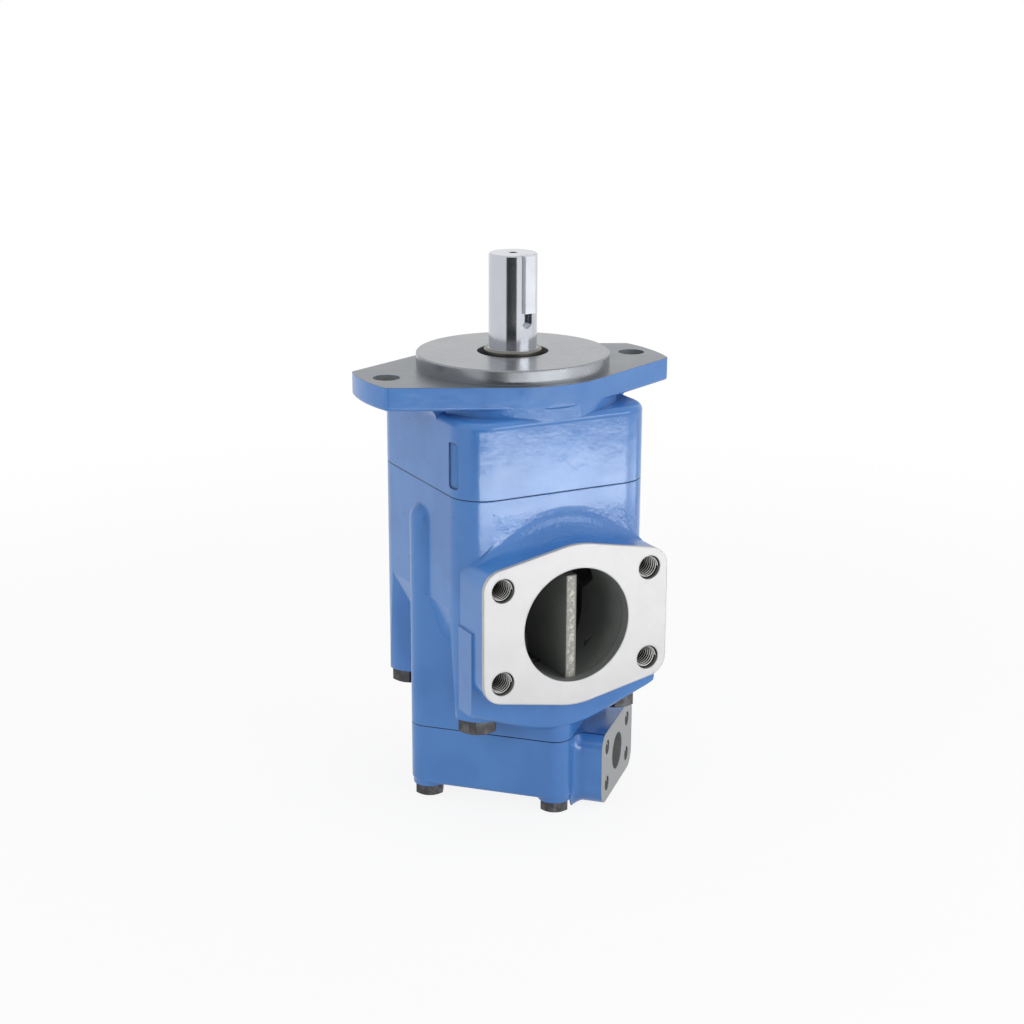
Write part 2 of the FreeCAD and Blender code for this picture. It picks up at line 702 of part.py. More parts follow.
def suction_cavity():
    """Cored passage from the suction port to both cartridges, round the shaft tunnel."""
    low, high = REAR.end, FRONT.end
    wide = high - PASSAGE_WIDE_H
    passage = revolve([(0, low), (REAR.cavity_r, low), (REAR.cavity_r, wide - PASSAGE_TAPER_H),
                       (FRONT.cavity_r, wide), (FRONT.cavity_r, high), (0, high)])
    mouth_end = SUCTION_FACE - WEB_SETBACK
    mouth = across(SUCTION_BORE_D / 2, SUCTION_DEPTH, mouth_end, SUCTION_FACE + 1)
    throat = across(SUCTION_BORE_D / 2 + SUCTION_CORE_STEP, SUCTION_DEPTH,
                    TUNNEL_R + TUNNEL_WALL, mouth_end)
    port = turned(mouth.fuse(throat), -90)
    wall_r, foot = TUNNEL_R + TUNNEL_WALL, TUNNEL_FOOT_H
    low_r, high_r = REAR.bore_r + TUNNEL_FOOT_W, FRONT.bore_r + TUNNEL_FOOT_W
    tunnel = revolve([(0, low), (low_r, low), (low_r, low + foot), (wall_r, low + 2 * foot),
                      (wall_r, high - 2 * foot), (high_r, high - foot), (high_r, high), (0, high)])
    half = WEB_THICKNESS / 2
    web = box(-half, half, -mouth_end, FRONT.cavity_r + 1, low - 1, high - foot / 2)
    return passage.fuse(port).cut(tunnel).cut(web)


def inlet_body():
    """Middle casting: square above, four columns below, suction boss on -Y."""
    top_part = upright(square_outline(), COLUMN_START, FRONT_SEAM)
    top_part = top_part.makeChamfer(SEAM_CHAMFER, edges_at(top_part, FRONT_SEAM))
    core = upright(cover_outline(), REAR_SEAM, COLUMN_START)
    core = core.makeChamfer(SEAM_CHAMFER, edges_at(core, REAR_SEAM))
    clip = upright(square_outline(), COLUMN_END, FRONT_SEAM)
    columns = [column(place).common(clip) for place in body_bolt_places()]
    boss = turned(suction_boss(), -90)
    body = top_part.multiFuse([core, skirt(), boss] + columns + cover_bolt_ribs())

    tools = [suction_cavity()]
    tools.append(cyl(FRONT.cavity_r, FRONT.end, FRONT_SEAM + 1))
    tools.append(cyl(REAR.cavity_r, REAR_SEAM - 1, REAR.end))
    tools.append(cyl(TUNNEL_R, REAR.end - 1, FRONT.end + 1))
    groove_r = FRONT.cavity_r + SEAM_SEAL_WALL
    tools.append(tube(groove_r, groove_r + SEAL_GROOVE_W, FRONT_SEAM - SEAL_CORD_D, FRONT_SEAM + 1))
    for place in body_bolt_places():
        tools.append(cyl(BODY_BOLT_D / 2 + BOLT_HOLE_GAP, COLUMN_END - 1, FRONT_SEAM + 1,
                         place.x, place.y))
        tools.append(cyl(COLUMN_END_R + HEAD_POCKET_GAP, REAR_SEAM - 1, COLUMN_END,
                         place.x, place.y))
    for place in cover_bolt_places():
        tools.append(cyl(COVER_BOLT_D / 2 + THREAD_GAP, REAR_SEAM - 1,
                         REAR_SEAM + COVER_BOLT_THREAD_L + HOLE_SPARE_L, place.x, place.y))
    for u, v in corners(SUCTION_SPACING_U, SUCTION_SPACING_V):
        hole = across(SUCTION_THREAD_D / 2, SUCTION_DEPTH, SUCTION_FACE - SUCTION_THREAD_L,
                      SUCTION_FACE + 1, u, v)
        tools.append(turned(hole, -90))
    for tool in tools:
        body = body.cut(tool)
    return body


def rear_pad():
    """Block of the rear outlet pad, with a cove where it leaves the cover, facing +X."""
    r = REAR_PAD_COVE_R
    stations = [(REAR_PORT_FACE, 0)]
    for c, s in quarter_turn(COVE_STEPS):
        stations.append((COVER_HALF + r * (1 - s), r * (1 - c)))
    block = swept(rear_pad_outline, REAR_PORT_DEPTH, stations + [(COVER_HALF - r, r)])
    bottom = -REAR_PORT_DEPTH - REAR_PORT_SPACING_V / 2 - REAR_PAD_MARGIN_V
    reach = REAR_PORT_FACE + 1
    beside = box(0, reach, -reach, reach, COVER_BOTTOM, REAR_SEAM)
    below = box(COVER_HALF - REAR_PAD_BACK, reach, -reach, reach, bottom, COVER_BOTTOM)
    return block.common(beside.fuse(below))


def rear_cover():
    """Rear casting: bolted cover with the outlet chamber, hub seat and rear outlet pad."""
    body = upright(cover_outline(), COVER_BOTTOM, REAR_SEAM)
    body = body.makeFillet(COVER_EDGE_R, edges_at(body, COVER_BOTTOM))
    body = body.makeChamfer(SEAM_CHAMFER, edges_at(body, REAR_SEAM))
    boss_r = COVER_CORNER_R - COVER_BOSS_INSET
    bosses = [cyl(boss_r, COVER_SEAT, COVER_BOTTOM + COVER_EDGE_R, p.x, p.y)
              for p in cover_bolt_places()]
    body = body.multiFuse(bosses + [turned(rear_pad(), -45)]).removeSplitter()

    tools = [cyl(REAR.cavity_r, REAR.rim, REAR_SEAM + 1)]
    tools.append(cyl(REAR.plug_r + PLATE_GAP, REAR.hub, REAR.rim + 1))
    tools.append(cyl(REAR.hub_r + PLATE_GAP, REAR.back - 1, REAR.hub + 1))
    groove_r = REAR.cavity_r + SEAM_SEAL_WALL
    tools.append(tube(groove_r, groove_r + SEAL_GROOVE_W, REAR_SEAM - SEAL_CORD_D, REAR_SEAM + 1))
    seat_r = REAR.plug_r + PLATE_GAP
    port = [across(REAR_PORT_BORE_D / 2, REAR_PORT_DEPTH, seat_r, REAR_PORT_FACE + 1)]
    port.append(box(REAR.waist_r, seat_r + 1, -REAR_PASSAGE_W / 2, REAR_PASSAGE_W / 2,
                    REAR.hub, REAR.plug))
    for u, v in corners(REAR_PORT_SPACING_U, REAR_PORT_SPACING_V):
        port.append(across(REAR_PORT_THREAD_D / 2, REAR_PORT_DEPTH,
                           REAR_PORT_FACE - REAR_PORT_THREAD_L, REAR_PORT_FACE + 1, u, v))
    tools += [turned(tool, -45) for tool in port]
    for place in cover_bolt_places():
        tools.append(cyl(COVER_BOLT_D / 2 + BOLT_HOLE_GAP, COVER_SEAT - 1, REAR_SEAM + 1,
                         place.x, place.y))
    for tool in tools:
        body = body.cut(tool)
    return body


def hexagon(flats):
    """Face of a hexagon with a given width across flats."""
    corner_r = flats / math.sqrt(3)
    return Part.Face(Part.makePolygon([polar(corner_r, 60 * i) for i in range(7)]))


def hex_bolt(flats, head_h, diameter, shank_l, place, seat):
    """Hex bolt with its head hanging below a seat, its chamfered end down and its shank up."""
    corner_r = flats / math.sqrt(3)
    head = hexagon(flats).extrude(V(0, 0, head_h))
    outer = corner_r + 1
    form = revolve([(0, 0), (flats / 2, 0), (outer, (outer - flats / 2) * HEAD_BEVEL),
                    (outer, head_h), (0, head_h)])
    head = head.common(form)
    shank = cyl(diameter / 2, head_h - 1, head_h + shank_l)
    bolt = head.fuse(shank).removeSplitter()
    bolt.translate(V(place.x, place.y, seat - head_h))
    return bolt


def body_bolts():
    """Four long bolts from the columns up into the front body."""
    length = FRONT_SEAM - COLUMN_END + BODY_BOLT_THREAD_L
    return Part.Compound([hex_bolt(BODY_BOLT_FLATS, BODY_BOLT_HEAD_H, BODY_BOLT_D, length, p,
                                   COLUMN_END) for p in body_bolt_places()])


def cover_bolts():
    """Four bolts from the rear cover up into the inlet body."""
    length = REAR_SEAM - COVER_SEAT + COVER_BOLT_THREAD_L
    return Part.Compound([hex_bolt(COVER_BOLT_FLATS, COVER_BOLT_HEAD_H, COVER_BOLT_D, length, p,
                                   COVER_SEAT) for p in cover_bolt_places()])


def shaft_seal():
    """Lip seal: a case pressed in the bore with a wall that reaches in to the lip."""
    outer, lip, top = SEAL_D / 2 - PRESS_GAP, JOURNAL_D / 2 + RUNNING_GAP, SEAL_TOP
    wall, drop, back = SEAL_WALL, SEAL_LIP_DROP, lip + SEAL_LIP_WALL
    return revolve([
        (lip, top - drop + wall / 2), (back - wall / 2, top - wall), (back - wall / 2, top),
        (outer, top), (outer, SEAL_END), (outer - wall, SEAL_END), (outer - wall, top - wall),
        (back + wall, top - wall), (back, top - drop), (lip + wall / 2, top - drop)])


def seal_spring():
    """Garter spring that hugs the seal's lip."""
    section = SEAL_SPRING_D / 2
    return torus(JOURNAL_D / 2 + RUNNING_GAP + SEAL_LIP_WALL + section, section,
                 SEAL_TOP - SEAL_LIP_DROP - section)


def race_groove():
    """Ball track, shared by both races."""
    return torus(BALL_R, BALL_D / 2 + RUNNING_GAP, BALL_Z)


def bearing_outer_race():
    """Outer race of the ball bearing."""
    inner = BALL_R + BALL_D / 2 - RACE_LIP
    return tube(inner, BEARING_D / 2 - PRESS_GAP, BEARING_END, BEARING_TOP).cut(race_groove())


def bearing_inner_race():
    """Inner race of the ball bearing."""
    outer = BALL_R - BALL_D / 2 + RACE_LIP
    return tube(BEARING_BORE_D / 2 + PRESS_GAP, outer, BEARING_END, BEARING_TOP).cut(race_groove())


def ball_places():
    """Centres of the bearing's balls."""
    return [polar(BALL_R, 360 * i / BALL_COUNT) + V(0, 0, BALL_Z) for i in range(BALL_COUNT)]


def bearing_balls():
    """Balls of the bearing, as separate solids."""
    return Part.Compound([Part.makeSphere(BALL_D / 2, p) for p in ball_places()])


def bearing_cage():
    """Cage that spaces the balls."""
    half = BALL_D / 2 + CAGE_LIP
    cage = tube(BALL_R - CAGE_WALL / 2, BALL_R + CAGE_WALL / 2, BALL_Z - half, BALL_Z + half)
    for place in ball_places():
        way = V(place.x, place.y, 0)
        start = V(0, 0, BALL_Z)
        cage = cage.cut(Part.makeCylinder(BALL_D / 2 + RUNNING_GAP, BALL_R + CAGE_WALL, start, way))
    return cage


def open_ring(inner, outer, low, high, opening):
    """Retaining ring: a flat ring with an opening on +X."""
    return tube(inner, outer, low, high).cut(
        box(0, outer + 1, -opening / 2, opening / 2, low - 1, high + 1))


def bearing_retaining_ring():
    """Internal ring behind the outer race."""
    outer = BEARING_D / 2 + RETAINING_RING_GROOVE - PRESS_GAP
    return open_ring(outer - RETAINING_RING_WALL, outer, RETAINING_RING_END, BEARING_END,
                     RETAINING_RING_OPENING)


def shaft_retaining_ring():
    """External ring in front of the inner race."""
    inner = BEARING_BORE_D / 2 - SHAFT_RING_GROOVE + PRESS_GAP
    return open_ring(inner, inner + SHAFT_RING_WALL, BEARING_TOP, BEARING_TOP + SHAFT_RING_W,
                     SHAFT_RING_OPENING)


def body_seal():
    """Ring seal between the front and inlet bodies."""
    centre = FRONT.cavity_r + SEAM_SEAL_WALL + SEAL_GROOVE_W / 2
    return torus(centre, SEAL_CORD_D / 2, FRONT_SEAM - SEAL_CORD_D / 2)


def cover_seal():
    """Ring seal between the inlet body and the rear cover."""
    centre = REAR.cavity_r + SEAM_SEAL_WALL + SEAL_GROOVE_W / 2
    return torus(centre, SEAL_CORD_D / 2, REAR_SEAM - SEAL_CORD_D / 2)


def spline_wire(radius, gap):
    """Outline of a straight-sided spline, or of its broached hole with a gap."""
    half = SPLINE_TOOTH_W / 2 + gap
    major = radius + gap
    minor = radius - SPLINE_DEPTH + gap
    points = []
    for i in range(SPLINE_TEETH):
        turn = FreeCAD.Rotation(V(0, 0, 1), 360 * i / SPLINE_TEETH)
        foot = math.sqrt(minor ** 2 - half ** 2)
        for x, y in ((foot, -half), (major, -half), (major, half), (foot, half)):
            points.append(turn.multVec(V(x, y, 0)))
    return Part.makePolygon(points + points[:1])


def drive_shaft():
    """Stepped shaft: keyed end, seal journal, bearing seat, two splines and a rear journal."""
    r, top, c = SHAFT_D / 2, SHAFT_LENGTH, SHAFT_CHAMFER
    journal, jc = JOURNAL_D / 2, JOURNAL_CHAMFER
    seat, collar = BEARING_BORE_D / 2, BEARING_BORE_D / 2 + SHAFT_COLLAR_RISE
    groove = seat - SHAFT_RING_GROOVE
    ring_top = BEARING_TOP + SHAFT_RING_W
    collar_end = BEARING_END - SHAFT_COLLAR_W
    waist, tunnel, rear = SHAFT_WAIST_D / 2, TUNNEL_SHAFT_D / 2, REAR_JOURNAL_D / 2
    front_top, front_end = FRONT.plug, FRONT.inlet - SPLINE_RUN_OUT
    rear_top, rear_end = REAR.end + SPLINE_RUN_OUT, REAR.rim + SPLINE_RUN_OUT / 2
    core = SPLINE_DEPTH + SPLINE_CORE_GAP
    front_core, rear_core = FRONT.spline_r - core, REAR.spline_r - core
    end = REAR.back + SHAFT_END_GAP
    shaft = revolve([
        (0, top), (r - c, top), (r, top - c), (r, JOURNAL_TOP), (journal - jc, JOURNAL_TOP),
        (journal, JOURNAL_TOP - jc), (journal, ring_top + 1), (seat, ring_top + 1),
        (seat, ring_top), (groove, ring_top), (groove, BEARING_TOP), (seat, BEARING_TOP),
        (seat, BEARING_END), (collar, BEARING_END), (collar, collar_end), (waist, collar_end),
        (waist, front_top), (front_core, front_top), (front_core, front_end),
        (tunnel, front_end), (tunnel, rear_top), (rear_core, rear_top),
        (rear_core, rear_end), (rear, rear_end), (rear, end), (0, end)])
    front_spline = upright(spline_wire(FRONT.spline_r, 0), front_end, front_top)
    rear_spline = upright(spline_wire(REAR.spline_r, 0), rear_end, rear_top)
    shaft = shaft.multiFuse([front_spline, rear_spline])
    centre_hole = cyl(CENTRE_HOLE_D / 2, top - CENTRE_HOLE_L, top + 1)
    return shaft.cut(centre_hole).cut(keyway())


def keyway():
    """Keyway, open at the shaft's end and round at its foot."""
    half, floor, outer = KEY_W / 2 + PRESS_GAP, KEY_TOP_R - KEY_W, KEY_TOP_R + 1
    round_z = SHAFT_LENGTH - KEYWAY_L + half
    slot = box(-half, half, -outer, -floor, round_z, SHAFT_LENGTH + 1)
    foot = Part.makeCylinder(half, outer - floor, V(0, -outer, round_z), V(0, 1, 0))
    return turned(slot.fuse(foot), KEY_TURN)


def shaft_key():
    """Square key that stands out of the shaft."""
    half = KEY_W / 2
    key = box(-half, half, -KEY_TOP_R, KEY_W - KEY_TOP_R, SHAFT_LENGTH - KEY_L, SHAFT_LENGTH)
    return turned(key, KEY_TURN)


def screw_places(c):
    """Places of a cartridge's two screws, opposite each other."""
    return [polar(c.pin_r, angle) for angle in (0, 180)]


def dowel_places(c):
    """Places of a cartridge's two dowel pins."""
    return [polar(c.pin_r, angle) for angle in (90, 270)]


def pin_holes(c, low, high):
    """Holes for the screws and the dowels through one slice of the stack."""
    holes = [cyl(CARTRIDGE_SCREW_D / 2 + THREAD_GAP, low - 1, high + 1, p.x, p.y)
             for p in screw_places(c)]
    holes += [cyl(DOWEL_D / 2 + PRESS_GAP, low - 1, high + 1, p.x, p.y) for p in dowel_places(c)]
    return Part.Compound(holes)


def kidneys(c, centres, low, high):
    """Kidney ports over the vane tips, at the given angles."""
    inner, outer = c.rotor_r - KIDNEY_REACH, c.cam_r + c.stroke - KIDNEY_LIP
    return Part.Compound([sector(inner, outer, a, KIDNEY_SPAN, low, high) for a in centres])


def side_plate(c, start):
    """Thin side plate with two inlet and two outlet kidneys."""
    low, high = c.span(start, c.side_w)
    plate = tube(c.bore_r, c.ring_r, low, high).cut(pin_holes(c, low, high))
    return plate.cut(kidneys(c, INLET_CENTRES + OUTLET_CENTRES, low - 1, high + 1))


def cam_radius(c, angle):
    """Cam radius at an angle from the cam's short axis: dwells joined by cosine ramps."""
    folded = abs((angle + 90) % 180 - 90)
    ramp = min(max((folded - CAM_DWELL) / (90 - 2 * CAM_DWELL), 0), 1)
    return c.cam_r + c.stroke * (1 - math.cos(math.pi * ramp)) / 2


def cam_ring(c):
    """Ring with the two-lobed cam that drives the vanes."""
    low, high = c.span(c.ring, c.ring_w)
    angles = [360 * i / CAM_POINTS for i in range(CAM_POINTS)]
    points = [polar(cam_radius(c, a), a) + V(0, 0, low) for a in angles]
    curve = Part.BSplineCurve()
    curve.interpolate(Points=points, PeriodicFlag=True)
    cam = Part.Face(Part.Wire([curve.toShape()])).extrude(V(0, 0, high - low))
    return cyl(c.ring_r, low, high).cut(cam).cut(pin_holes(c, low, high))


def rotor(c):
    """Slotted and splined rotor."""
    low, high = c.span(c.ring, c.ring_w)
    low, high = low + SIDE_GAP, high - SIDE_GAP
    body = cyl(c.rotor_r, low, high)
    half = VANE_THICKNESS / 2 + SIDE_GAP
    slots = [turned(box(c.slot_r, c.rotor_r + 1, -half, half, low - 1, high + 1), angle)
             for angle in vane_angles()]
    body = body.cut(Part.Compound(slots))
    return body.cut(upright(spline_wire(c.spline_r, SPLINE_GAP), low - 1, high + 1))


def vane_angles():
    """Angles of the vanes with the shaft at rest."""
    return [FIRST_VANE_TURN + 360 * i / VANE_COUNT for i in range(VANE_COUNT)]


def insert_box(c, gap):
    """Block of a vane's insert, or of its notch with a gap, at angle zero."""
    low, high = c.span(c.ring, c.ring_w)
    middle, half = (low + high) / 2, c.insert_w / 2 + gap
    top = c.slot_r + c.insert_h + (INSERT_TOP_GAP if gap else 0)
    side = VANE_THICKNESS / 2 + (1 if gap else 0)
    return box(c.slot_r - (1 if gap else 0), top, -side, side, middle - half, middle + half)


def vane(c, angle):
    """Vane with a crowned tip and a notch for its insert, fully drawn in."""
    low, high = c.span(c.ring, c.ring_w)
    half, tip = VANE_THICKNESS / 2, c.rotor_r - VANE_TIP_GAP
    foot = c.slot_r + VANE_FOOT_GAP
    side = tip - TIP_CROWN
    wire = Part.Wire([
        Part.makeLine(V(foot, -half, 0), V(side, -half, 0)),
        Part.Arc(V(side, -half, 0), V(tip, 0, 0), V(side, half, 0)).toShape(),
        Part.makeLine(V(side, half, 0), V(foot, half, 0)),
        Part.makeLine(V(foot, half, 0), V(foot, -half, 0)),
    ])
    blade = upright(wire, low + SIDE_GAP, high - SIDE_GAP).cut(insert_box(c, SIDE_GAP))
    return turned(blade, angle)


def vane_inserts(c):
    """Small blocks under the vanes, seated on the slots' floors."""
    return Part.Compound([turned(insert_box(c, 0), angle) for angle in vane_angles()])


def inlet_support_plate(c):
    """Plate on the suction side, with inlet passages open to its rim."""
    low, high = c.span(c.inlet, c.inlet_w)
    plate = tube(c.bore_r, c.ring_r, low, high).cut(pin_holes(c, low, high))
    face_low, face_high = c.span(c.inlet, c.inlet_w * SCOOP_SHARE)
    scoops = [sector(c.rotor_r - KIDNEY_REACH, c.ring_r + 1, a, KIDNEY_SPAN, face_low, face_high)
              for a in INLET_CENTRES]
    plate = plate.cut(Part.Compound(scoops))
    head_low, head_high = sorted((c.end, c.end - c.way * CARTRIDGE_SCREW_HEAD_H))
    heads = [cyl(CARTRIDGE_SCREW_HEAD_D / 2 + BOLT_HOLE_GAP, head_low, head_high, p.x, p.y)
             for p in screw_places(c)]
    return plate.cut(Part.Compound(heads))


def outlet_support_plate(c):
    """Spool-shaped plate: rim, sealed plug, waist in the outlet chamber and sealed hub."""
    bore, half = c.plate_bore_r, SEAL_GROOVE_W / 2
    plate = revolve([
        (bore, c.outer), (c.ring_r, c.outer), (c.ring_r, c.rim), (c.plug_r, c.rim),
        (c.plug_r, c.plug), (c.waist_r, c.plug), (c.waist_r, c.hub), (c.hub_r, c.hub),
        (c.hub_r, c.back), (bore, c.back)])
    for radius, middle in ((c.plug_r, (c.rim + c.plug) / 2), (c.hub_r, (c.hub + c.back) / 2)):
        plate = plate.cut(tube(radius - SEAL_CORD_D, radius + 1, middle - half, middle + half))
    low, high = sorted((c.outer + c.way, c.plug - c.way))
    ports = [sector(c.waist_r + OUTLET_PORT_WALL, c.cam_r + c.stroke - KIDNEY_LIP, a, KIDNEY_SPAN,
                    low, high) for a in OUTLET_CENTRES]
    plate = plate.cut(Part.Compound(ports))
    return plate.cut(pin_holes(c, *sorted((c.outer, c.outer - c.way * (c.rim_w - 1)))))


def rear_bush():
    """Bush of the shaft's rear journal, in the rear outlet support plate."""
    inner = REAR_JOURNAL_D / 2 + RUNNING_GAP
    return tube(inner, REAR_JOURNAL_D / 2 + BUSH_WALL, REAR.back, REAR.back + REAR_JOURNAL_L)


def plate_seals(c):
    """Two ring seals of an outlet support plate."""
    section = SEAL_CORD_D / 2
    return Part.Compound([
        torus(c.plug_r - section, section - PRESS_GAP, (c.rim + c.plug) / 2),
        torus(c.hub_r - section, section - PRESS_GAP, (c.hub + c.back) / 2)])


def cartridge_screws(c):
    """Two socket screws that hold a cartridge's stack together."""
    screws = []
    head_low, head_high = sorted((c.end, c.end - c.way * CARTRIDGE_SCREW_HEAD_H))
    low, high = sorted((c.end - c.way, c.outer - c.way * (c.rim_w - 1)))
    socket_low, socket_high = sorted((c.end + c.way, c.end - c.way * SCREW_SOCKET_DEPTH))
    for place in screw_places(c):
        head = cyl(CARTRIDGE_SCREW_HEAD_D / 2, head_low, head_high, place.x, place.y)
        shank = cyl(CARTRIDGE_SCREW_D / 2, low, high, place.x, place.y)
        socket = hexagon(SCREW_SOCKET_FLATS).extrude(V(0, 0, socket_high - socket_low))
        socket.translate(V(place.x, place.y, socket_low))
        screws.append(head.fuse(shank).removeSplitter().cut(socket))
    return Part.Compound(screws)


def dowel_pins(c):
    """Two dowel pins that line the stack up."""
    low, high = sorted((c.inlet + c.way * DOWEL_BITE, c.outer - c.way * DOWEL_BITE))
    return Part.Compound([cyl(DOWEL_D / 2, low, high, p.x, p.y) for p in dowel_places(c)])


def cartridge_pieces(name, c):
    """Every piece of one cartridge, by node name."""
    pieces = {
        name + "_outlet_support_plate": outlet_support_plate(c),
        name + "_outer_side_plate": side_plate(c, c.outer),
        name + "_cam_ring": cam_ring(c),
        name + "_inner_side_plate": side_plate(c, c.inner),
        name + "_inlet_support_plate": inlet_support_plate(c),
        name + "_plate_seals": plate_seals(c),
        name + "_cartridge_screws": cartridge_screws(c),
        name + "_dowel_pins": dowel_pins(c),
        name + "_rotor": rotor(c),
        name + "_vane_inserts": vane_inserts(c),
    }
    for i, angle in enumerate(vane_angles()):
        pieces["%s_vane_%d" % (name, i + 1)] = vane(c, angle)
    return pieces


def all_pieces():
    """Every piece of the pump, by node name."""
    pieces = {
        "front_body": front_body(),
        "inlet_body": inlet_body(),
        "rear_cover": rear_cover(),
        "body_bolts": body_bolts(),
        "cover_bolts": cover_bolts(),
        "shaft_seal": shaft_seal(),
        "seal_spring": seal_spring(),
        "bearing_outer_race": bearing_outer_race(),
        "bearing_inner_race": bearing_inner_race(),
        "bearing_balls": bearing_balls(),
        "bearing_cage": bearing_cage(),
        "bearing_retaining_ring": bearing_retaining_ring(),
        "shaft_retaining_ring": shaft_retaining_ring(),
        "body_seal": body_seal(),
        "cover_seal": cover_seal(),
        "rear_bush": rear_bush(),
        "drive_shaft": drive_shaft(),
        "shaft_key": shaft_key(),
    }
    pieces.update(cartridge_pieces("front", FRONT))
    pieces.update(cartridge_pieces("rear", REAR))
    return pieces


os.makedirs("parts", exist_ok=True)
for node, shape in all_pieces().items():
    shape.exportStep(os.path.join("parts", node + ".step"))
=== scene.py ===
"""Finishes, thread coils, studio and camera for the double vane pump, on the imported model."""
import json
import logging
import math
from dataclasses import dataclass, field
from enum import Enum
from typing import Any, Mapping, Optional, Sequence, Union

import bpy
from mathutils import Matrix, Vector


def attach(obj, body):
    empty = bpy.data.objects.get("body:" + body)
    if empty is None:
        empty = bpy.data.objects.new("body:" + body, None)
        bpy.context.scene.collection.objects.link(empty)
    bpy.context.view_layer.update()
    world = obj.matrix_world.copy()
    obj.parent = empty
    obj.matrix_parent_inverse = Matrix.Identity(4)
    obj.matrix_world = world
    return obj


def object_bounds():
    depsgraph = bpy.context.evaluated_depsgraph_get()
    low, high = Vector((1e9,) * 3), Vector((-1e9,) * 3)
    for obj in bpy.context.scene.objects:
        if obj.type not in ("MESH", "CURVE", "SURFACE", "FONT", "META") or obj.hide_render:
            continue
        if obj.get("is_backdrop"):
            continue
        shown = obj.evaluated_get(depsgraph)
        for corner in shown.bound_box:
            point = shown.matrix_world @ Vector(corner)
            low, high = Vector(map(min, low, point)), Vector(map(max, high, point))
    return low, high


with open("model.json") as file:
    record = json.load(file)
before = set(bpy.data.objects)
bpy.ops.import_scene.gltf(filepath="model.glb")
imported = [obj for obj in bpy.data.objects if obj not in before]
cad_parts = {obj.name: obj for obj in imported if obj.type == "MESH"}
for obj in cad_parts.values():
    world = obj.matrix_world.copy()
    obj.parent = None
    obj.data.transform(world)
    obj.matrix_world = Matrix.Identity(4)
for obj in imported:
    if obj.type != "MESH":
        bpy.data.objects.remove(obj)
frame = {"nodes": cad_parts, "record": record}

LOG = logging.getLogger("vane_pump")

Colour = tuple[float, float, float]
Triple = tuple[float, float, float]
Number = Union[float, int, "Signal"]

# Places of the pump in metres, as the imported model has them
FLANGE_FACE_Z = 0.0
FRONT_SEAM_Z = -0.0697
REAR_SEAM_Z = -0.2395
EAR_HOLE_X = 0.0905
RECESS_R = 0.0235
BODY_HALF = 0.0683
BODY_CORNER_R = 0.0220
SIDE_RECESS_Y = -0.0495
SIDE_RECESS_Z = -0.0490
SIDE_RECESS_X = -0.055
SIDE_RECESS_HALF_Y = 0.0056
SIDE_RECESS_HALF_Z = 0.0154
SIDE_RECESS_EDGE = 0.0018
EAR_HOLE_R = 0.00875
FRONT_CAVITY_R = 0.0590
REAR_CAVITY_R = 0.0480
WIDE_CHAMBER_Z = -0.150
COVER_CAVITY_Z = -0.2800
SHOULDER_START_R = 0.0163

# How far a bare patch reaches past its wall, and the depth of a machined skin
REACH_PAST = 0.0001
SKIN = 0.00015

# The colour of every light in the studio
WHITE = (1.0, 1.0, 1.0)


class Operation(Enum):
    """Math node operations that the finishes use."""

    ADD = "ADD"
    SUBTRACT = "SUBTRACT"
    MULTIPLY = "MULTIPLY"
    DIVIDE = "DIVIDE"
    POWER = "POWER"
    ROOT = "SQRT"
    LEAST = "MINIMUM"
    MOST = "MAXIMUM"
    SIZE = "ABSOLUTE"


class Signal:
    """A number socket of a node tree, on which Python's operators add Math nodes."""

    def __init__(self, desk: "Desk", socket: bpy.types.NodeSocket) -> None:
        """Wraps a socket.

        Args:
            desk: The node tree's builder.
            socket: The output socket that carries the number.
        """
        self.desk = desk
        self.socket = socket

    def _apply(self, operation: Operation, first: Number,
               second: Optional[Number] = None) -> "Signal":
        """Adds one Math node.

        Args:
            operation: What the node does.
            first: Its first value or signal.
            second: Its second one, if it has two.

        Returns:
            The node's result.
        """
        inputs: dict[Union[int, str], Any] = {0: first}
        if second is not None:
            inputs[1] = second
        settings = {"operation": operation.value}
        return self.desk.node("ShaderNodeMath", settings, inputs).number(0)

    def __add__(self, other: Number) -> "Signal":
        """Sum."""
        return self._apply(Operation.ADD, self, other)

    def __radd__(self, other: Number) -> "Signal":
        """Sum with the number first."""
        return self._apply(Operation.ADD, other, self)

    def __sub__(self, other: Number) -> "Signal":
        """Difference."""
        return self._apply(Operation.SUBTRACT, self, other)

    def __rsub__(self, other: Number) -> "Signal":
        """Difference with the number first."""
        return self._apply(Operation.SUBTRACT, other, self)

    def __mul__(self, other: Number) -> "Signal":
        """Product."""
        return self._apply(Operation.MULTIPLY, self, other)

    def __rmul__(self, other: Number) -> "Signal":
        """Product with the number first."""
        return self._apply(Operation.MULTIPLY, other, self)

    def __truediv__(self, other: Number) -> "Signal":
        """Quotient."""
        return self._apply(Operation.DIVIDE, self, other)

    def __pow__(self, other: Number) -> "Signal":
        """Power."""
        return self._apply(Operation.POWER, self, other)

    def __abs__(self) -> "Signal":
        """Size without its sign."""
        return self._apply(Operation.SIZE, self)

    def __or__(self, other: Number) -> "Signal":
        """The larger of two masks."""
        return self._apply(Operation.MOST, self, other)

    def __and__(self, other: Number) -> "Signal":
        """The smaller of two masks."""
        return self._apply(Operation.LEAST, self, other)

    def root(self) -> "Signal":
        """Square root."""
        return self._apply(Operation.ROOT, self)

    def above(self, level: float, softness: float = 0.0001) -> "Signal":
        """Mask of where the signal is above a level.

        Args:
            level: The level at the middle of the edge.
            softness: Half the width of the edge.

        Returns:
            0 below and 1 above.
        """
        return self.desk.ramp(self, level - softness, level + softness)

    def below(self, level: float, softness: float = 0.0001) -> "Signal":
        """Mask of where the signal is below a level, with the same edge as above."""
        return self.desk.ramp(self, level + softness, level - softness)


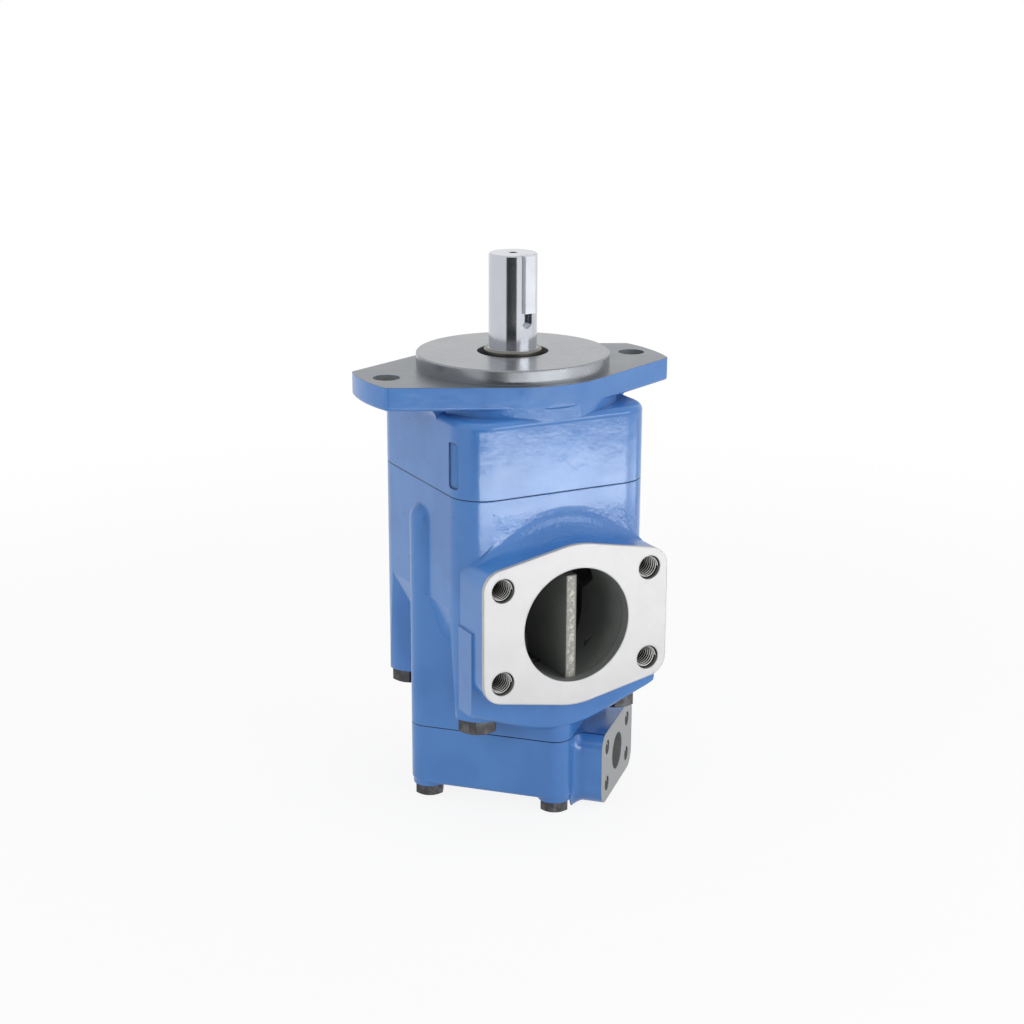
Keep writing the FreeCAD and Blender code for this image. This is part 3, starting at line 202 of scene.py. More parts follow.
class Placed:
    """A node that was added, whose outputs are read as numbers or as plain sockets."""

    def __init__(self, desk: "Desk", made: bpy.types.Node) -> None:
        """Keeps the node and its tree's builder."""
        self.desk = desk
        self.made = made

    def out(self, key: Union[int, str] = 0) -> bpy.types.NodeSocket:
        """Output socket by its place or name, among those that are in use."""
        if isinstance(key, str):
            return next(s for s in self.made.outputs if s.name == key and s.enabled)
        return self.made.outputs[key]

    def number(self, key: Union[int, str] = 0) -> Signal:
        """Output read as a number."""
        return Signal(self.desk, self.out(key))


class Desk:
    """Builder of one node tree, of a material or of the world."""

    def __init__(self, tree: bpy.types.NodeTree) -> None:
        """Clears the tree and starts on it."""
        self.tree = tree
        tree.nodes.clear()
        self._position: Optional[bpy.types.NodeSocket] = None

    def node(self, kind: str, settings: Optional[Mapping[str, Any]] = None,
             inputs: Optional[Mapping[Union[int, str], Any]] = None) -> Placed:
        """Adds one node.

        Args:
            kind: The node's type.
            settings: Its properties, which are set first.
            inputs: Values or links of its sockets, by place or name.

        Returns:
            The node.
        """
        made = self.tree.nodes.new(kind)
        for name, value in (settings or {}).items():
            setattr(made, name, value)
        for key, value in (inputs or {}).items():
            if isinstance(key, str):
                socket = next(s for s in made.inputs if s.name == key and s.enabled)
            else:
                socket = made.inputs[key]
            if isinstance(value, Signal):
                self.tree.links.new(value.socket, socket)
            elif isinstance(value, bpy.types.NodeSocket):
                self.tree.links.new(value, socket)
            elif isinstance(value, tuple) and socket.type == "RGBA" and len(value) == 3:
                socket.default_value = (*value, 1.0)
            else:
                socket.default_value = value
        return Placed(self, made)

    def ramp(self, value: Signal, start: float, end: float) -> Signal:
        """Smooth step of a signal.

        Args:
            value: The signal.
            start: Where the result is 0.
            end: Where the result is 1.

        Returns:
            The step, kept between 0 and 1.
        """
        settings = {"interpolation_type": "SMOOTHSTEP", "clamp": True}
        low, high = min(start, end), max(start, end)
        inputs = {"Value": value, "From Min": low, "From Max": high}
        step = self.node("ShaderNodeMapRange", settings, inputs).number("Result")
        return step if start <= end else 1 - step

    def position(self) -> bpy.types.NodeSocket:
        """The piece's own coordinates, in metres."""
        if self._position is None:
            self._position = self.node("ShaderNodeTexCoord").out("Object")
        return self._position

    def axes(self) -> tuple[Signal, Signal, Signal]:
        """The three coordinates of the piece, in metres."""
        split = self.node("ShaderNodeSeparateXYZ", inputs={0: self.position()})
        return split.number("X"), split.number("Y"), split.number("Z")

    def joined(self, x: Number = 0.0, y: Number = 0.0, z: Number = 0.0) -> bpy.types.NodeSocket:
        """Vector of three numbers."""
        return self.node("ShaderNodeCombineXYZ", inputs={"X": x, "Y": y, "Z": z}).out(0)

    def cloud(self, scale: float, detail: float = 2.0, rough: float = 0.5,
              at: Optional[bpy.types.NodeSocket] = None) -> Signal:
        """Soft noise.

        Args:
            scale: Cells per metre.
            detail: Octaves.
            rough: Share that each octave keeps.
            at: Coordinates, or the piece's own.

        Returns:
            The noise, about 0.5.
        """
        inputs = {"Vector": at or self.position(), "Scale": scale, "Detail": detail,
                  "Roughness": rough}
        return self.node("ShaderNodeTexNoise", {"noise_dimensions": "3D"}, inputs).number("Fac")

    def cells(self, scale: float, at: Optional[bpy.types.NodeSocket] = None) -> Signal:
        """Distance to the nearest of scattered points, in cells.

        Args:
            scale: Points per metre.
            at: Coordinates, or the piece's own.

        Returns:
            The distance.
        """
        inputs = {"Vector": at or self.position(), "Scale": scale}
        return self.node("ShaderNodeTexVoronoi", {"feature": "F1"}, inputs).number("Distance")

    def tint(self, factor: Number, first: Any, second: Any,
             way: str = "MIX") -> bpy.types.NodeSocket:
        """Mix of two colours.

        Args:
            factor: How much of the second one shows.
            first: Colour or its socket.
            second: Colour or its socket.
            way: The blend.

        Returns:
            The colour's socket.
        """
        settings = {"data_type": "RGBA", "blend_type": way, "clamp_factor": True}
        return self.node("ShaderNodeMix", settings,
                         {"Factor": factor, "A": first, "B": second}).out("Result")

    def blend(self, factor: Signal, first: Number, second: Number) -> Signal:
        """Mix of two numbers by a mask."""
        return first + factor * (second - first)


@dataclass(frozen=True)
class Port:
    """A port of the pump: where its face is, which way it looks, and its bolt holes."""

    name: str
    azimuth: float
    out: float
    z: float
    bore_r: float
    spacing_u: float
    spacing_v: float
    hole_r: float
    pitch: float

    def split(self, desk: Desk) -> tuple[Signal, Signal, Signal]:
        """Splits a piece's coordinates as this port sees them.

        Args:
            desk: The material's node builder.

        Returns:
            The place across the face, the height from the port's axis, and the depth behind
            the face.
        """
        x, y, z = desk.axes()
        turn = math.radians(self.azimuth)
        along = y * math.cos(turn) - x * math.sin(turn)
        outward = x * math.cos(turn) + y * math.sin(turn)
        return along, z - self.z, self.out - outward

    def hole_reach(self, desk: Desk) -> Signal:
        """Distance from the axis of the nearest bolt hole."""
        along, up, _ = self.split(desk)
        off_u = abs(along) - self.spacing_u / 2
        off_v = abs(up) - self.spacing_v / 2
        return (off_u * off_u + off_v * off_v).root()

    def seat(self) -> Matrix:
        """Placement that brings +Z onto the port's outward direction, at the face."""
        turn = math.radians(self.azimuth)
        centre = Vector((self.out * math.cos(turn), self.out * math.sin(turn), self.z))
        return (Matrix.Translation(centre) @ Matrix.Rotation(turn + math.pi / 2, 4, "Z")
                @ Matrix.Rotation(math.pi / 2, 4, "X"))


SUCTION = Port("suction", azimuth=-90.0, out=0.0905, z=-0.1527, bore_r=0.0381,
               spacing_u=0.1064, spacing_v=0.0619, hole_r=0.0080, pitch=0.0023)
FRONT_OUTLET = Port("front_outlet", azimuth=90.0, out=0.0762, z=-0.0400, bore_r=0.0159,
                    spacing_u=0.0587, spacing_v=0.0302, hole_r=0.0050, pitch=0.0015)
REAR_OUTLET = Port("rear_outlet", azimuth=-45.0, out=0.0758, z=-0.2641, bore_r=0.0127,
                   spacing_u=0.0524, spacing_v=0.0262, hole_r=0.0050, pitch=0.0015)


class Metal(Enum):
    """Bare metals of the pump, each with its colour."""

    MILLED_IRON = (0.465, 0.464, 0.470)
    TURNED_IRON = (0.275, 0.288, 0.308)
    GREY_PAD_IRON = (0.270, 0.276, 0.284)
    CAST_IRON = (0.190, 0.200, 0.192)
    FRESH_IRON = (0.200, 0.196, 0.176)
    DULL_IRON = (0.185, 0.200, 0.222)
    GROUND_STEEL = (0.540, 0.555, 0.600)
    HARD_STEEL = (0.430, 0.430, 0.440)
    BEARING_STEEL = (0.600, 0.605, 0.615)
    SPRING_STEEL = (0.180, 0.185, 0.200)
    BRONZE = (0.520, 0.330, 0.150)


@dataclass(frozen=True)
class Surface:
    """Sockets of one finish, ready for the shader."""

    colour: Any
    roughness: Number
    metallic: Number
    height: Optional[Signal] = None


def dressed(name: str, desk: Desk, material: bpy.types.Material, surface: Surface,
            edge: float = 0.0) -> bpy.types.Material:
    """Puts a finish on a shader.

    Args:
        name: The finish's name, for the log.
        desk: The material's node builder.
        material: The material.
        surface: The finish's sockets.
        edge: Radius over which edges look rounded, in metres.

    Returns:
        The finished material.
    """
    inputs: dict[Union[int, str], Any] = {
        "Base Color": surface.colour, "Roughness": surface.roughness,
        "Metallic": surface.metallic}
    soft = None
    if edge > 0:
        soft = desk.node("ShaderNodeBevel", {"samples": 4}, {"Radius": edge}).out("Normal")
    if surface.height is not None:
        bump: dict[Union[int, str], Any] = {"Height": surface.height, "Strength": 1.0,
                                            "Distance": 1.0}
        if soft is not None:
            bump["Normal"] = soft
        inputs["Normal"] = desk.node("ShaderNodeBump", inputs=bump).out("Normal")
    elif soft is not None:
        inputs["Normal"] = soft
    shader = desk.node("ShaderNodeBsdfPrincipled", inputs=inputs)
    desk.node("ShaderNodeOutputMaterial", inputs={"Surface": shader.out("BSDF")})
    LOG.info("finish %s", name)
    return material


def new_material(name: str) -> tuple[bpy.types.Material, Desk]:
    """An empty node material and its builder."""
    material = bpy.data.materials.new(name)
    material.use_nodes = True
    return material, Desk(material.node_tree)


@dataclass(frozen=True)
class Enamel:
    """Blue gloss enamel over cast iron, with the casting's ripple, orange peel and pits."""

    body: Colour = (0.052, 0.178, 0.470)
    light: Colour = (0.066, 0.212, 0.530)
    # Dark colour of the pits, also the colour of the painted shade in the side recess
    dark: Colour = (0.030, 0.070, 0.170)
    roughness: float = 0.15
    ripple: float = 0.00020
    dimple: float = 0.00005
    peel: float = 0.000016
    pit: float = 0.00025

    def surface(self, desk: Desk) -> Surface:
        """Builds the paint's sockets.

        Args:
            desk: The material's node builder.

        Returns:
            Colour, roughness, metallic and height of the paint.
        """
        patches = desk.cloud(22.0, 3.0).above(0.50, 0.15)
        colour = desk.tint(patches, self.body, self.light)
        waves = desk.cloud(70.0, 2.0, 0.55)
        peel = desk.cloud(420.0, 1.0)
        pits = desk.cells(110.0).below(0.07, 0.035) * desk.cloud(14.0).above(0.56, 0.03)
        colour = desk.tint(pits * 0.75, colour, self.dark)
        dimples = desk.cloud(210.0, 2.0, 0.55)
        height = waves * self.ripple + dimples * self.dimple + peel * self.peel - pits * self.pit
        roughness = self.roughness + desk.cloud(55.0, 2.0) * 0.08
        return Surface(colour, roughness, 0.0, height)


@dataclass(frozen=True)
class BareFace:
    """A machined face in a casting: its colour, gloss and tool marks."""

    metal: Metal
    metallic: float
    roughness: float
    mark: float
    mottle: float

    def surface(self, desk: Desk, across: Signal, lines: float) -> Surface:
        """Builds the face's sockets.

        Args:
            desk: The material's node builder.
            across: Distance across the tool marks, in metres.
            lines: Tool marks per metre.

        Returns:
            Colour, roughness, metallic and height of the face.
        """
        groove = desk.cloud(lines, 1.0, 0.4, at=desk.joined(across))
        fog = desk.cloud(48.0, 4.0, 0.6)
        shade = 1 - self.mottle + fog * self.mottle * 2
        colour = desk.tint(1.0, self.metal.value,
                           desk.joined(shade, shade, shade), way="MULTIPLY")
        roughness = self.roughness + (fog - 0.5) * 0.2 + (groove - 0.5) * 0.1
        return Surface(colour, roughness, self.metallic, groove * self.mark)


@dataclass(frozen=True)
class SolidMetal:
    """A metal that covers a whole piece, with fine marks along one direction."""

    metal: Metal
    roughness: float
    lines: float = 900.0
    mark: float = 0.000004
    along_shaft: bool = False
    metallic: float = 1.0

    def material(self, name: str) -> bpy.types.Material:
        """Builds the material.

        Args:
            name: The material's name.

        Returns:
            The material.
        """
        material, desk = new_material(name)
        x, y, z = desk.axes()
        reach = (x * x + y * y).root()
        across = z if self.along_shaft else reach
        groove = desk.cloud(self.lines, 2.0, 0.5, at=desk.joined(across, z * 0.02))
        fog = desk.cloud(60.0, 3.0, 0.6)
        shade = 0.9 + fog * 0.2
        colour = desk.tint(1.0, self.metal.value, desk.joined(shade, shade, shade), way="MULTIPLY")
        roughness = self.roughness + (fog - 0.5) * 0.14
        surface = Surface(colour, roughness, self.metallic, groove * self.mark)
        return dressed(name, desk, material, surface, edge=0.0003)


@dataclass(frozen=True)
class ShaftSteel:
    """Ground steel of the shaft, duller on the shoulder that the seal runs behind."""

    ground: Metal = Metal.GROUND_STEEL
    roughness: float = 0.13
    shoulder: Colour = (0.200, 0.198, 0.180)

    def material(self, name: str) -> bpy.types.Material:
        """Builds the material.

        Args:
            name: The material's name.

        Returns:
            The material.
        """
        material, desk = new_material(name)
        x, y, z = desk.axes()
        reach = (x * x + y * y).root()
        groove = desk.cloud(1600.0, 2.0, 0.5, at=desk.joined(z, reach * 0.1))
        fog = desk.cloud(60.0, 3.0, 0.6)
        shade = 0.92 + fog * 0.16
        colour = desk.tint(1.0, self.ground.value, desk.joined(shade, shade, shade), way="MULTIPLY")
        dull = reach.above(SHOULDER_START_R, 0.0002)
        colour = desk.tint(dull, colour, self.shoulder)
        roughness = desk.blend(dull, self.roughness + (fog - 0.5) * 0.08, 0.34)
        surface = Surface(colour, roughness, 1.0, groove * 0.0000012)
        return dressed(name, desk, material, surface, edge=0.0003)


@dataclass(frozen=True)
class DarkOxide:
    """Black oxide of the bolts, worn lighter in places."""

    body: Colour = (0.050, 0.048, 0.052)
    worn: Colour = (0.110, 0.110, 0.118)

    def material(self, name: str) -> bpy.types.Material:
        """Builds the material.

        Args:
            name: The material's name.

        Returns:
            The material.
        """
        material, desk = new_material(name)
        wear = desk.cloud(140.0, 4.0, 0.65).above(0.55, 0.12)
        colour = desk.tint(wear, self.body, self.worn)
        grain = desk.cloud(1500.0, 2.0)
        surface = Surface(colour, 0.36 + wear * 0.12, 0.55, grain * 0.000012)
        return dressed(name, desk, material, surface, edge=0.0005)


@dataclass(frozen=True)
class Rubber:
    """Black rubber of the seals."""

    body: Colour = (0.016, 0.016, 0.018)

    def material(self, name: str) -> bpy.types.Material:
        """Builds the material.

        Args:
            name: The material's name.

        Returns:
            The material.
        """
        material, desk = new_material(name)
        dust = desk.cloud(300.0, 3.0).above(0.6, 0.1)
        colour = desk.tint(dust * 0.4, self.body, (0.06, 0.06, 0.062))
        surface = Surface(colour, 0.48 + dust * 0.15, 0.0, desk.cloud(900.0, 2.0) * 0.00001)
        return dressed(name, desk, material, surface)


@dataclass(frozen=True)
class CastingFinish:
    """Enamel on a casting, bare where it was machined after painting."""

    enamel: Enamel = Enamel()
    turned: BareFace = BareFace(Metal.TURNED_IRON, 0.85, 0.25, 0.000010, 0.06)
    dull: BareFace = BareFace(Metal.DULL_IRON, 0.85, 0.32, 0.000010, 0.10)
    milled: BareFace = BareFace(Metal.MILLED_IRON, 0.35, 0.50, 0.000008, 0.13)
    grey: BareFace = BareFace(Metal.GREY_PAD_IRON, 0.60, 0.42, 0.000008, 0.10)
    cast: BareFace = BareFace(Metal.CAST_IRON, 0.20, 0.70, 0.000200, 0.25)
    fresh: BareFace = BareFace(Metal.FRESH_IRON, 0.35, 0.50, 0.000250, 0.20)
    seam: float = 0.00030
    seam_shade: Colour = (0.012, 0.022, 0.050)
    soft_edge: float = 0.0006
    soft_edge_inlet: float = 0.0014
    # Colour of the painted highlight on the web's nose
    web_painted_highlight: Colour = (0.46, 0.45, 0.41)

    @staticmethod
    def over(desk: Desk, mask: Signal, under: Surface, top: Surface) -> Surface:
        """Lays one finish over another.

        Args:
            desk: The material's node builder.
            mask: Where the top finish shows.
            under: The finish below.
            top: The finish above.

        Returns:
            The mixed finish.
        """
        height = None
        if under.height is not None and top.height is not None:
            height = desk.blend(mask, under.height, top.height)
        return Surface(desk.tint(mask, under.colour, top.colour),
                       desk.blend(mask, under.roughness, top.roughness),
                       desk.blend(mask, under.metallic, top.metallic), height)

    def with_seam(self, desk: Desk, surface: Surface, z: Signal, seam_z: float) -> Surface:
        """Draws the dark line where two castings meet, and leaves the faces that meet alone.

        Args:
            desk: The material's node builder.
            surface: The finish below.
            z: Height on the piece.
            seam_z: Height of the seam.

        Returns:
            The finish with the line.
        """
        off = abs(z - seam_z)
        line = off.below(self.seam, self.seam / 2) & off.above(0.00002, 0.00001)
        return Surface(desk.tint(line, surface.colour, self.seam_shade),
                       surface.roughness, surface.metallic, surface.height)

    def with_side_recess_shade(self, desk: Desk, surface: Surface) -> Surface:
        """Paints shade into the narrow recess in the front casting's side, darkest along its edge.

        Args:
            desk: The material's node builder.
            surface: The finish below.

        Returns:
            The finish with the recess.
        """
        x, y, z = desk.axes()
        side = abs(x) - (BODY_HALF - BODY_CORNER_R)
        front = abs(y) - (BODY_HALF - BODY_CORNER_R)
        sunk = ((side * side + (front | 0.0) ** 2).root() - BODY_CORNER_R).below(-0.0003)
        off_y, off_z = abs(y - SIDE_RECESS_Y), abs(z - SIDE_RECESS_Z)
        shaded_recess = (sunk & off_y.below(SIDE_RECESS_HALF_Y) & off_z.below(SIDE_RECESS_HALF_Z)
                & x.below(SIDE_RECESS_X))
        rim_shade = (off_y.above(SIDE_RECESS_HALF_Y - SIDE_RECESS_EDGE, 0.0008)
               | off_z.above(SIDE_RECESS_HALF_Z - SIDE_RECESS_EDGE, 0.0008))
        # Painted shade: the recess is tinted towards the enamel's dark colour, most along its rim
        return Surface(desk.tint(shaded_recess * (0.2 + rim_shade * 0.7), surface.colour, self.enamel.dark),
                       desk.blend(shaded_recess, surface.roughness, 0.6), surface.metallic, surface.height)

    def front_body(self) -> bpy.types.Material:
        """Front casting: bare flange face, pilot and front outlet pad."""
        material, desk = new_material("front_body_enamel")
        x, y, z = desk.axes()
        reach = (x * x + y * y).root()
        surface = self.with_seam(desk, self.enamel.surface(desk), z, FRONT_SEAM_Z)
        along, up, depth = FRONT_OUTLET.split(desk)
        pad = depth.below(SKIN)
        surface = self.over(desk, pad, surface, self.grey.surface(desk, along, 700.0))
        port = (along * along + up * up).root()
        holes = FRONT_OUTLET.hole_reach(desk).below(FRONT_OUTLET.hole_r + REACH_PAST)
        bore = (port.below(FRONT_OUTLET.bore_r + REACH_PAST / 2) | holes) & depth.below(0.031)
        # Painted shade in the side recess
        surface = self.with_side_recess_shade(desk, surface)
        face = z.above(FLANGE_FACE_Z - SKIN)
        surface = self.over(desk, face, surface, self.dull.surface(desk, y, 900.0))
        pilot = face & z.above(FLANGE_FACE_Z + 0.0005)
        surface = self.over(desk, pilot, surface, self.turned.surface(desk, reach, 1500.0))
        off_ear = abs(x) - EAR_HOLE_X
        ear_hole = ((off_ear * off_ear + y * y).root().below(EAR_HOLE_R + SKIN)
                    & z.below(-0.0004, 0.0003))
        inside = (reach.below(RECESS_R + REACH_PAST * 2) & z.below(0.0088, 0.0003)) | (
            reach.below(FRONT_CAVITY_R + 0.0010) & z.below(-0.0005, 0.0002))
        dark = self.cast.surface(desk, reach, 300.0)
        surface = self.over(desk, bore | ear_hole | inside, surface, dark)
        return dressed("front_body", desk, material, surface, edge=self.soft_edge)

    @staticmethod
    def with_dents(desk: Desk, surface: Surface) -> Surface:
        """Adds the fine dents that the paint shows above the suction pad.

        Args:
            desk: The material's node builder.
            surface: The finish below.

        Returns:
            The finish with the dents.
        """
        x, _, z = desk.axes()
        _, _, depth = SUCTION.split(desk)
        dented = (depth.below(0.027, 0.004) & z.above(-0.124, 0.010) & z.below(-0.084, 0.010)
                  & x.above(-0.036, 0.022))
        dents = desk.cloud(360.0, 2.0, 0.6) * 0.00062
        return Surface(surface.colour, surface.roughness, surface.metallic,
                       surface.height + dented * dents)

    def with_web_nose_highlight(self, desk: Desk, surface: Surface) -> Surface:
        """Gives the nose of the web that divides the suction port raw iron with patches of painted
        highlight.

        Args:
            desk: The material's node builder.
            surface: The finish below.

        Returns:
            The finish with the nose.
        """
        along, up, depth = SUCTION.split(desk)
        port = (along * along + up * up).root()
        ragged = desk.cloud(420.0, 3.0, 0.7)
        strip = (abs(along + 0.0002) + (ragged - 0.5) * 0.0050).below(0.0032, 0.0004)
        nose = (depth.below(0.0092) & depth.above(0.006) & strip
                & port.below(SUCTION.bore_r + 0.004)
                & (port.below(SUCTION.bore_r - REACH_PAST * 2) | depth.above(0.0075)))
        iron = self.fresh.surface(desk, up, 420.0)
        # Painted highlight: ragged light patches where the nose catches the light
        nose_painted_highlight = desk.tint(ragged.above(0.56, 0.10) * 0.8, iron.colour, self.web_painted_highlight)
        bright = Surface(nose_painted_highlight, iron.roughness, iron.metallic, iron.height + ragged * 0.0004)
        return self.over(desk, nose, surface, bright)

    def inlet_body(self) -> bpy.types.Material:
        """Middle casting: bare suction pad, raw iron inside the port."""
        material, desk = new_material("inlet_body_enamel")
        x, y, z = desk.axes()
        surface = self.with_seam(desk, self.enamel.surface(desk), z, FRONT_SEAM_Z)
        surface = self.with_seam(desk, surface, z, REAR_SEAM_Z)
        surface = self.with_dents(desk, surface)
        along, up, depth = SUCTION.split(desk)
        far = ((along - 0.11) ** 2 + (up - 0.06) ** 2).root()
        pad = depth.below(0.0029)
        surface = self.over(desk, pad, surface, self.milled.surface(desk, far, 1300.0))
        port = (along * along + up * up).root()
        reach = (x * x + y * y).root()
        chamber = reach.below(REAR_CAVITY_R + 0.0025) | (
            reach.below(FRONT_CAVITY_R + 0.0005) & z.above(WIDE_CHAMBER_Z))
        mouth = port.below(SUCTION.bore_r + 0.0009) & (
            depth.above(0.0003) | port.below(SUCTION.bore_r - REACH_PAST))
        throat = port.below(SUCTION.bore_r + 0.0059) & depth.above(0.010)
        raw = self.cast.surface(desk, port, 260.0)
        surface = self.over(desk, chamber | ((mouth | throat) & depth.below(0.060)), surface, raw)
        surface = self.with_web_nose_highlight(desk, surface)
        holes = SUCTION.hole_reach(desk).below(SUCTION.hole_r + REACH_PAST) & depth.below(0.030)
        surface = self.over(desk, holes & depth.above(0.0002), surface, raw)
        return dressed("inlet_body", desk, material, surface, edge=self.soft_edge_inlet)

    def rear_cover(self) -> bpy.types.Material:
        """Rear casting: bare outlet pad, raw iron inside it."""
        material, desk = new_material("rear_cover_enamel")
        x, y, z = desk.axes()
        along, up, depth = REAR_OUTLET.split(desk)
        surface = self.with_seam(desk, self.enamel.surface(desk), z, REAR_SEAM_Z)
        pad = depth.below(SKIN)
        surface = self.over(desk, pad, surface, self.grey.surface(desk, along, 700.0))
        port = (along * along + up * up).root()
        holes = REAR_OUTLET.hole_reach(desk).below(REAR_OUTLET.hole_r + REACH_PAST)
        cavity = (x * x + y * y).root().below(REAR_CAVITY_R + 0.0030) & z.above(COVER_CAVITY_Z)
        inside = cavity | ((port.below(REAR_OUTLET.bore_r + REACH_PAST) | holes)
                           & depth.above(0.0002) & depth.below(0.036))
        surface = self.over(desk, inside, surface, self.cast.surface(desk, port, 300.0))
        return dressed("rear_cover", desk, material, surface, edge=self.soft_edge)


class Finishes:
    """The material of every CAD node, by its name or by its slot in the record."""

    def __init__(self) -> None:
        """Builds each material once."""
        casting = CastingFinish()
        self.by_node: dict[str, bpy.types.Material] = {
            "front_body": casting.front_body(),
            "inlet_body": casting.inlet_body(),
            "rear_cover": casting.rear_cover(),
            "drive_shaft": ShaftSteel().material("shaft_steel"),
        }
        self.by_slot: dict[str, bpy.types.Material] = {
            "black_bolts": DarkOxide().material("black_oxide"),
            "seal_rubber": Rubber().material("nitrile_rubber"),
            "spring_steel": SolidMetal(Metal.SPRING_STEEL, 0.42).material("spring_steel"),
            "bearing_steel": SolidMetal(Metal.BEARING_STEEL, 0.16).material("bearing_steel"),
            "bronze": SolidMetal(Metal.BRONZE, 0.36).material("bronze"),
            "ground_steel": SolidMetal(Metal.GROUND_STEEL, 0.21, lines=1600.0, mark=0.0000012,
                                       along_shaft=True).material("ground_steel"),
            "key_steel": SolidMetal(Metal.GROUND_STEEL, 0.30,
                                    along_shaft=True).material("key_steel"),
            "machined_iron": SolidMetal(Metal.TURNED_IRON, 0.40).material("machined_iron"),
            "hardened_steel": SolidMetal(Metal.HARD_STEEL, 0.26).material("hardened_steel"),
        }

    def dress(self, nodes: Mapping[str, bpy.types.Object], slots: Mapping[str, str]) -> None:
        """Gives every CAD node its material.

        Args:
            nodes: The CAD nodes by name.
            slots: The record's slot of each node.
        """
        for name, piece in nodes.items():
            material = self.by_node.get(name) or self.by_slot[slots[name]]
            for place in piece.material_slots:
                place.material = material
            if not piece.material_slots:
                piece.data.materials.append(material)
            LOG.info("node %s wears %s", name, material.name)


@dataclass(frozen=True)
class ThreadPaintedLight:
    """Cut thread with painted light: painted highlight on the crests, painted shade in the roots,
    and more painted shade down the hole.
    """

    # Painted highlight of the thread crests
    crest_highlight: Colour = (0.900, 0.895, 0.870)
    # Painted shade of the thread roots
    root: Colour = (0.010, 0.011, 0.010)
    # How deep the painted shade down the hole reaches
    shade_depth: float = 0.024

    def material(self, port: Port) -> bpy.types.Material:
        """Builds the material of one port's threads.

        Args:
            port: The port.

        Returns:
            The material.
        """
        name = f"{port.name}_thread"
        material, desk = new_material(name)
        _, _, depth = port.split(desk)
        # Painted highlight on the crests and painted shade in the roots, dimmed by painted shade
        # further down the hole
        crest_lit = desk.ramp(port.hole_reach(desk), port.hole_r - port.pitch * 0.36,
                         port.hole_r - port.pitch * 0.50)
        shade = crest_lit * desk.blend(desk.ramp(depth, 0.0, self.shade_depth), 1.0, 0.40)
        colour = desk.tint(shade, self.root, self.crest_highlight)
        grime = desk.cloud(700.0, 2.0)
        surface = Surface(colour, 0.36 + grime * 0.2, 0.7, grime * 0.00002)
        return dressed(name, desk, material, surface)


@dataclass
class TappedHoles:
    """Thread coils in the bolt holes of one port."""

    port: Port
    turns: int
    lead_in: float = 0.0006
    steps: int = 32
    made: list[bpy.types.Object] = field(default_factory=list)

    def coil(self) -> bpy.types.Object:
        """Models one thread coil along +Z, its mouth at the origin.

        Returns:
            The coil.
        """
        bpy.ops.object.select_all(action="DESELECT")
        pitch, hole_r = self.port.pitch, self.port.hole_r
        bpy.ops.mesh.primitive_circle_add(vertices=3, radius=pitch * 0.5, fill_type="NOTHING",
                                          location=(0, 0, 0), rotation=(math.radians(90), 0, 0))
        piece = bpy.context.active_object
        bpy.ops.object.transform_apply(location=True, rotation=True, scale=True)
        mesh = piece.data
        root = hole_r + 0.00003
        profile = ((root, -0.44 * pitch), (hole_r - 0.54 * pitch, 0.0), (root, 0.44 * pitch))
        for vertex, (out, up) in zip(mesh.vertices, profile):
            vertex.co = (out, 0.0, up)
        screw = piece.modifiers.new("coil", "SCREW")
        screw.axis = "Z"
        screw.angle = math.tau
        screw.screw_offset = -pitch
        screw.iterations = self.turns
        screw.steps = self.steps
        screw.render_steps = self.steps
        screw.use_merge_vertices = False
        bpy.ops.object.modifier_apply(modifier=screw.name)
        bpy.ops.object.mode_set(mode="EDIT")
        bpy.ops.mesh.select_all(action="SELECT")
        bpy.ops.mesh.fill_holes(sides=3)
        bpy.ops.mesh.select_all(action="SELECT")
        bpy.ops.mesh.normals_make_consistent(inside=False)
        bpy.ops.object.mode_set(mode="OBJECT")
        bpy.ops.object.shade_smooth_by_angle(angle=math.radians(30))
        return piece

    def build(self, material: bpy.types.Material) -> None:
        """Makes the coils of the four holes.

        Args:
            material: Their finish.
        """
        first = self.coil()
        port = self.port
        drop = -(port.pitch * 0.5 + self.lead_in)
        places = [(side_u * port.spacing_u / 2, side_v * port.spacing_v / 2)
                  for side_u in (-1, 1) for side_v in (-1, 1)]
        for index in range(len(places)):
            piece = first if index == 0 else first.copy()
            if index:
                piece.data = first.data.copy()
                bpy.context.scene.collection.objects.link(piece)
            self.made.append(piece)
        for index, (piece, (u, v)) in enumerate(zip(self.made, places)):
            piece.name = f"{port.name}_thread_{index + 1}"
            seat = port.seat() @ Matrix.Translation((u, v, drop))
            piece.data.transform(seat)
            piece.data.materials.clear()
            piece.data.materials.append(material)
            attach(piece, "housing")
            LOG.info("piece %s: %d faces", piece.name, len(piece.data.polygons))


@dataclass(frozen=True)
class Lamp:
    """One soft lamp of the studio, which gloss doesn't see."""

    name: str
    place: Triple
    aim: Triple
    width: float
    height: float
    watts: float

    def build(self) -> None:
        """Adds the lamp."""
        data = bpy.data.lights.new(self.name, "AREA")
        data.shape = "RECTANGLE"
        data.size = self.width
        data.size_y = self.height
        data.energy = self.watts
        lamp = bpy.data.objects.new(self.name, data)
        lamp.location = self.place
        line = Vector(self.aim) - Vector(self.place)
        lamp.rotation_euler = line.to_track_quat("-Z", "Y").to_euler()
        lamp.visible_camera = False
        lamp.visible_glossy = False
        bpy.context.scene.collection.objects.link(lamp)
        LOG.info("lamp %s", self.name)


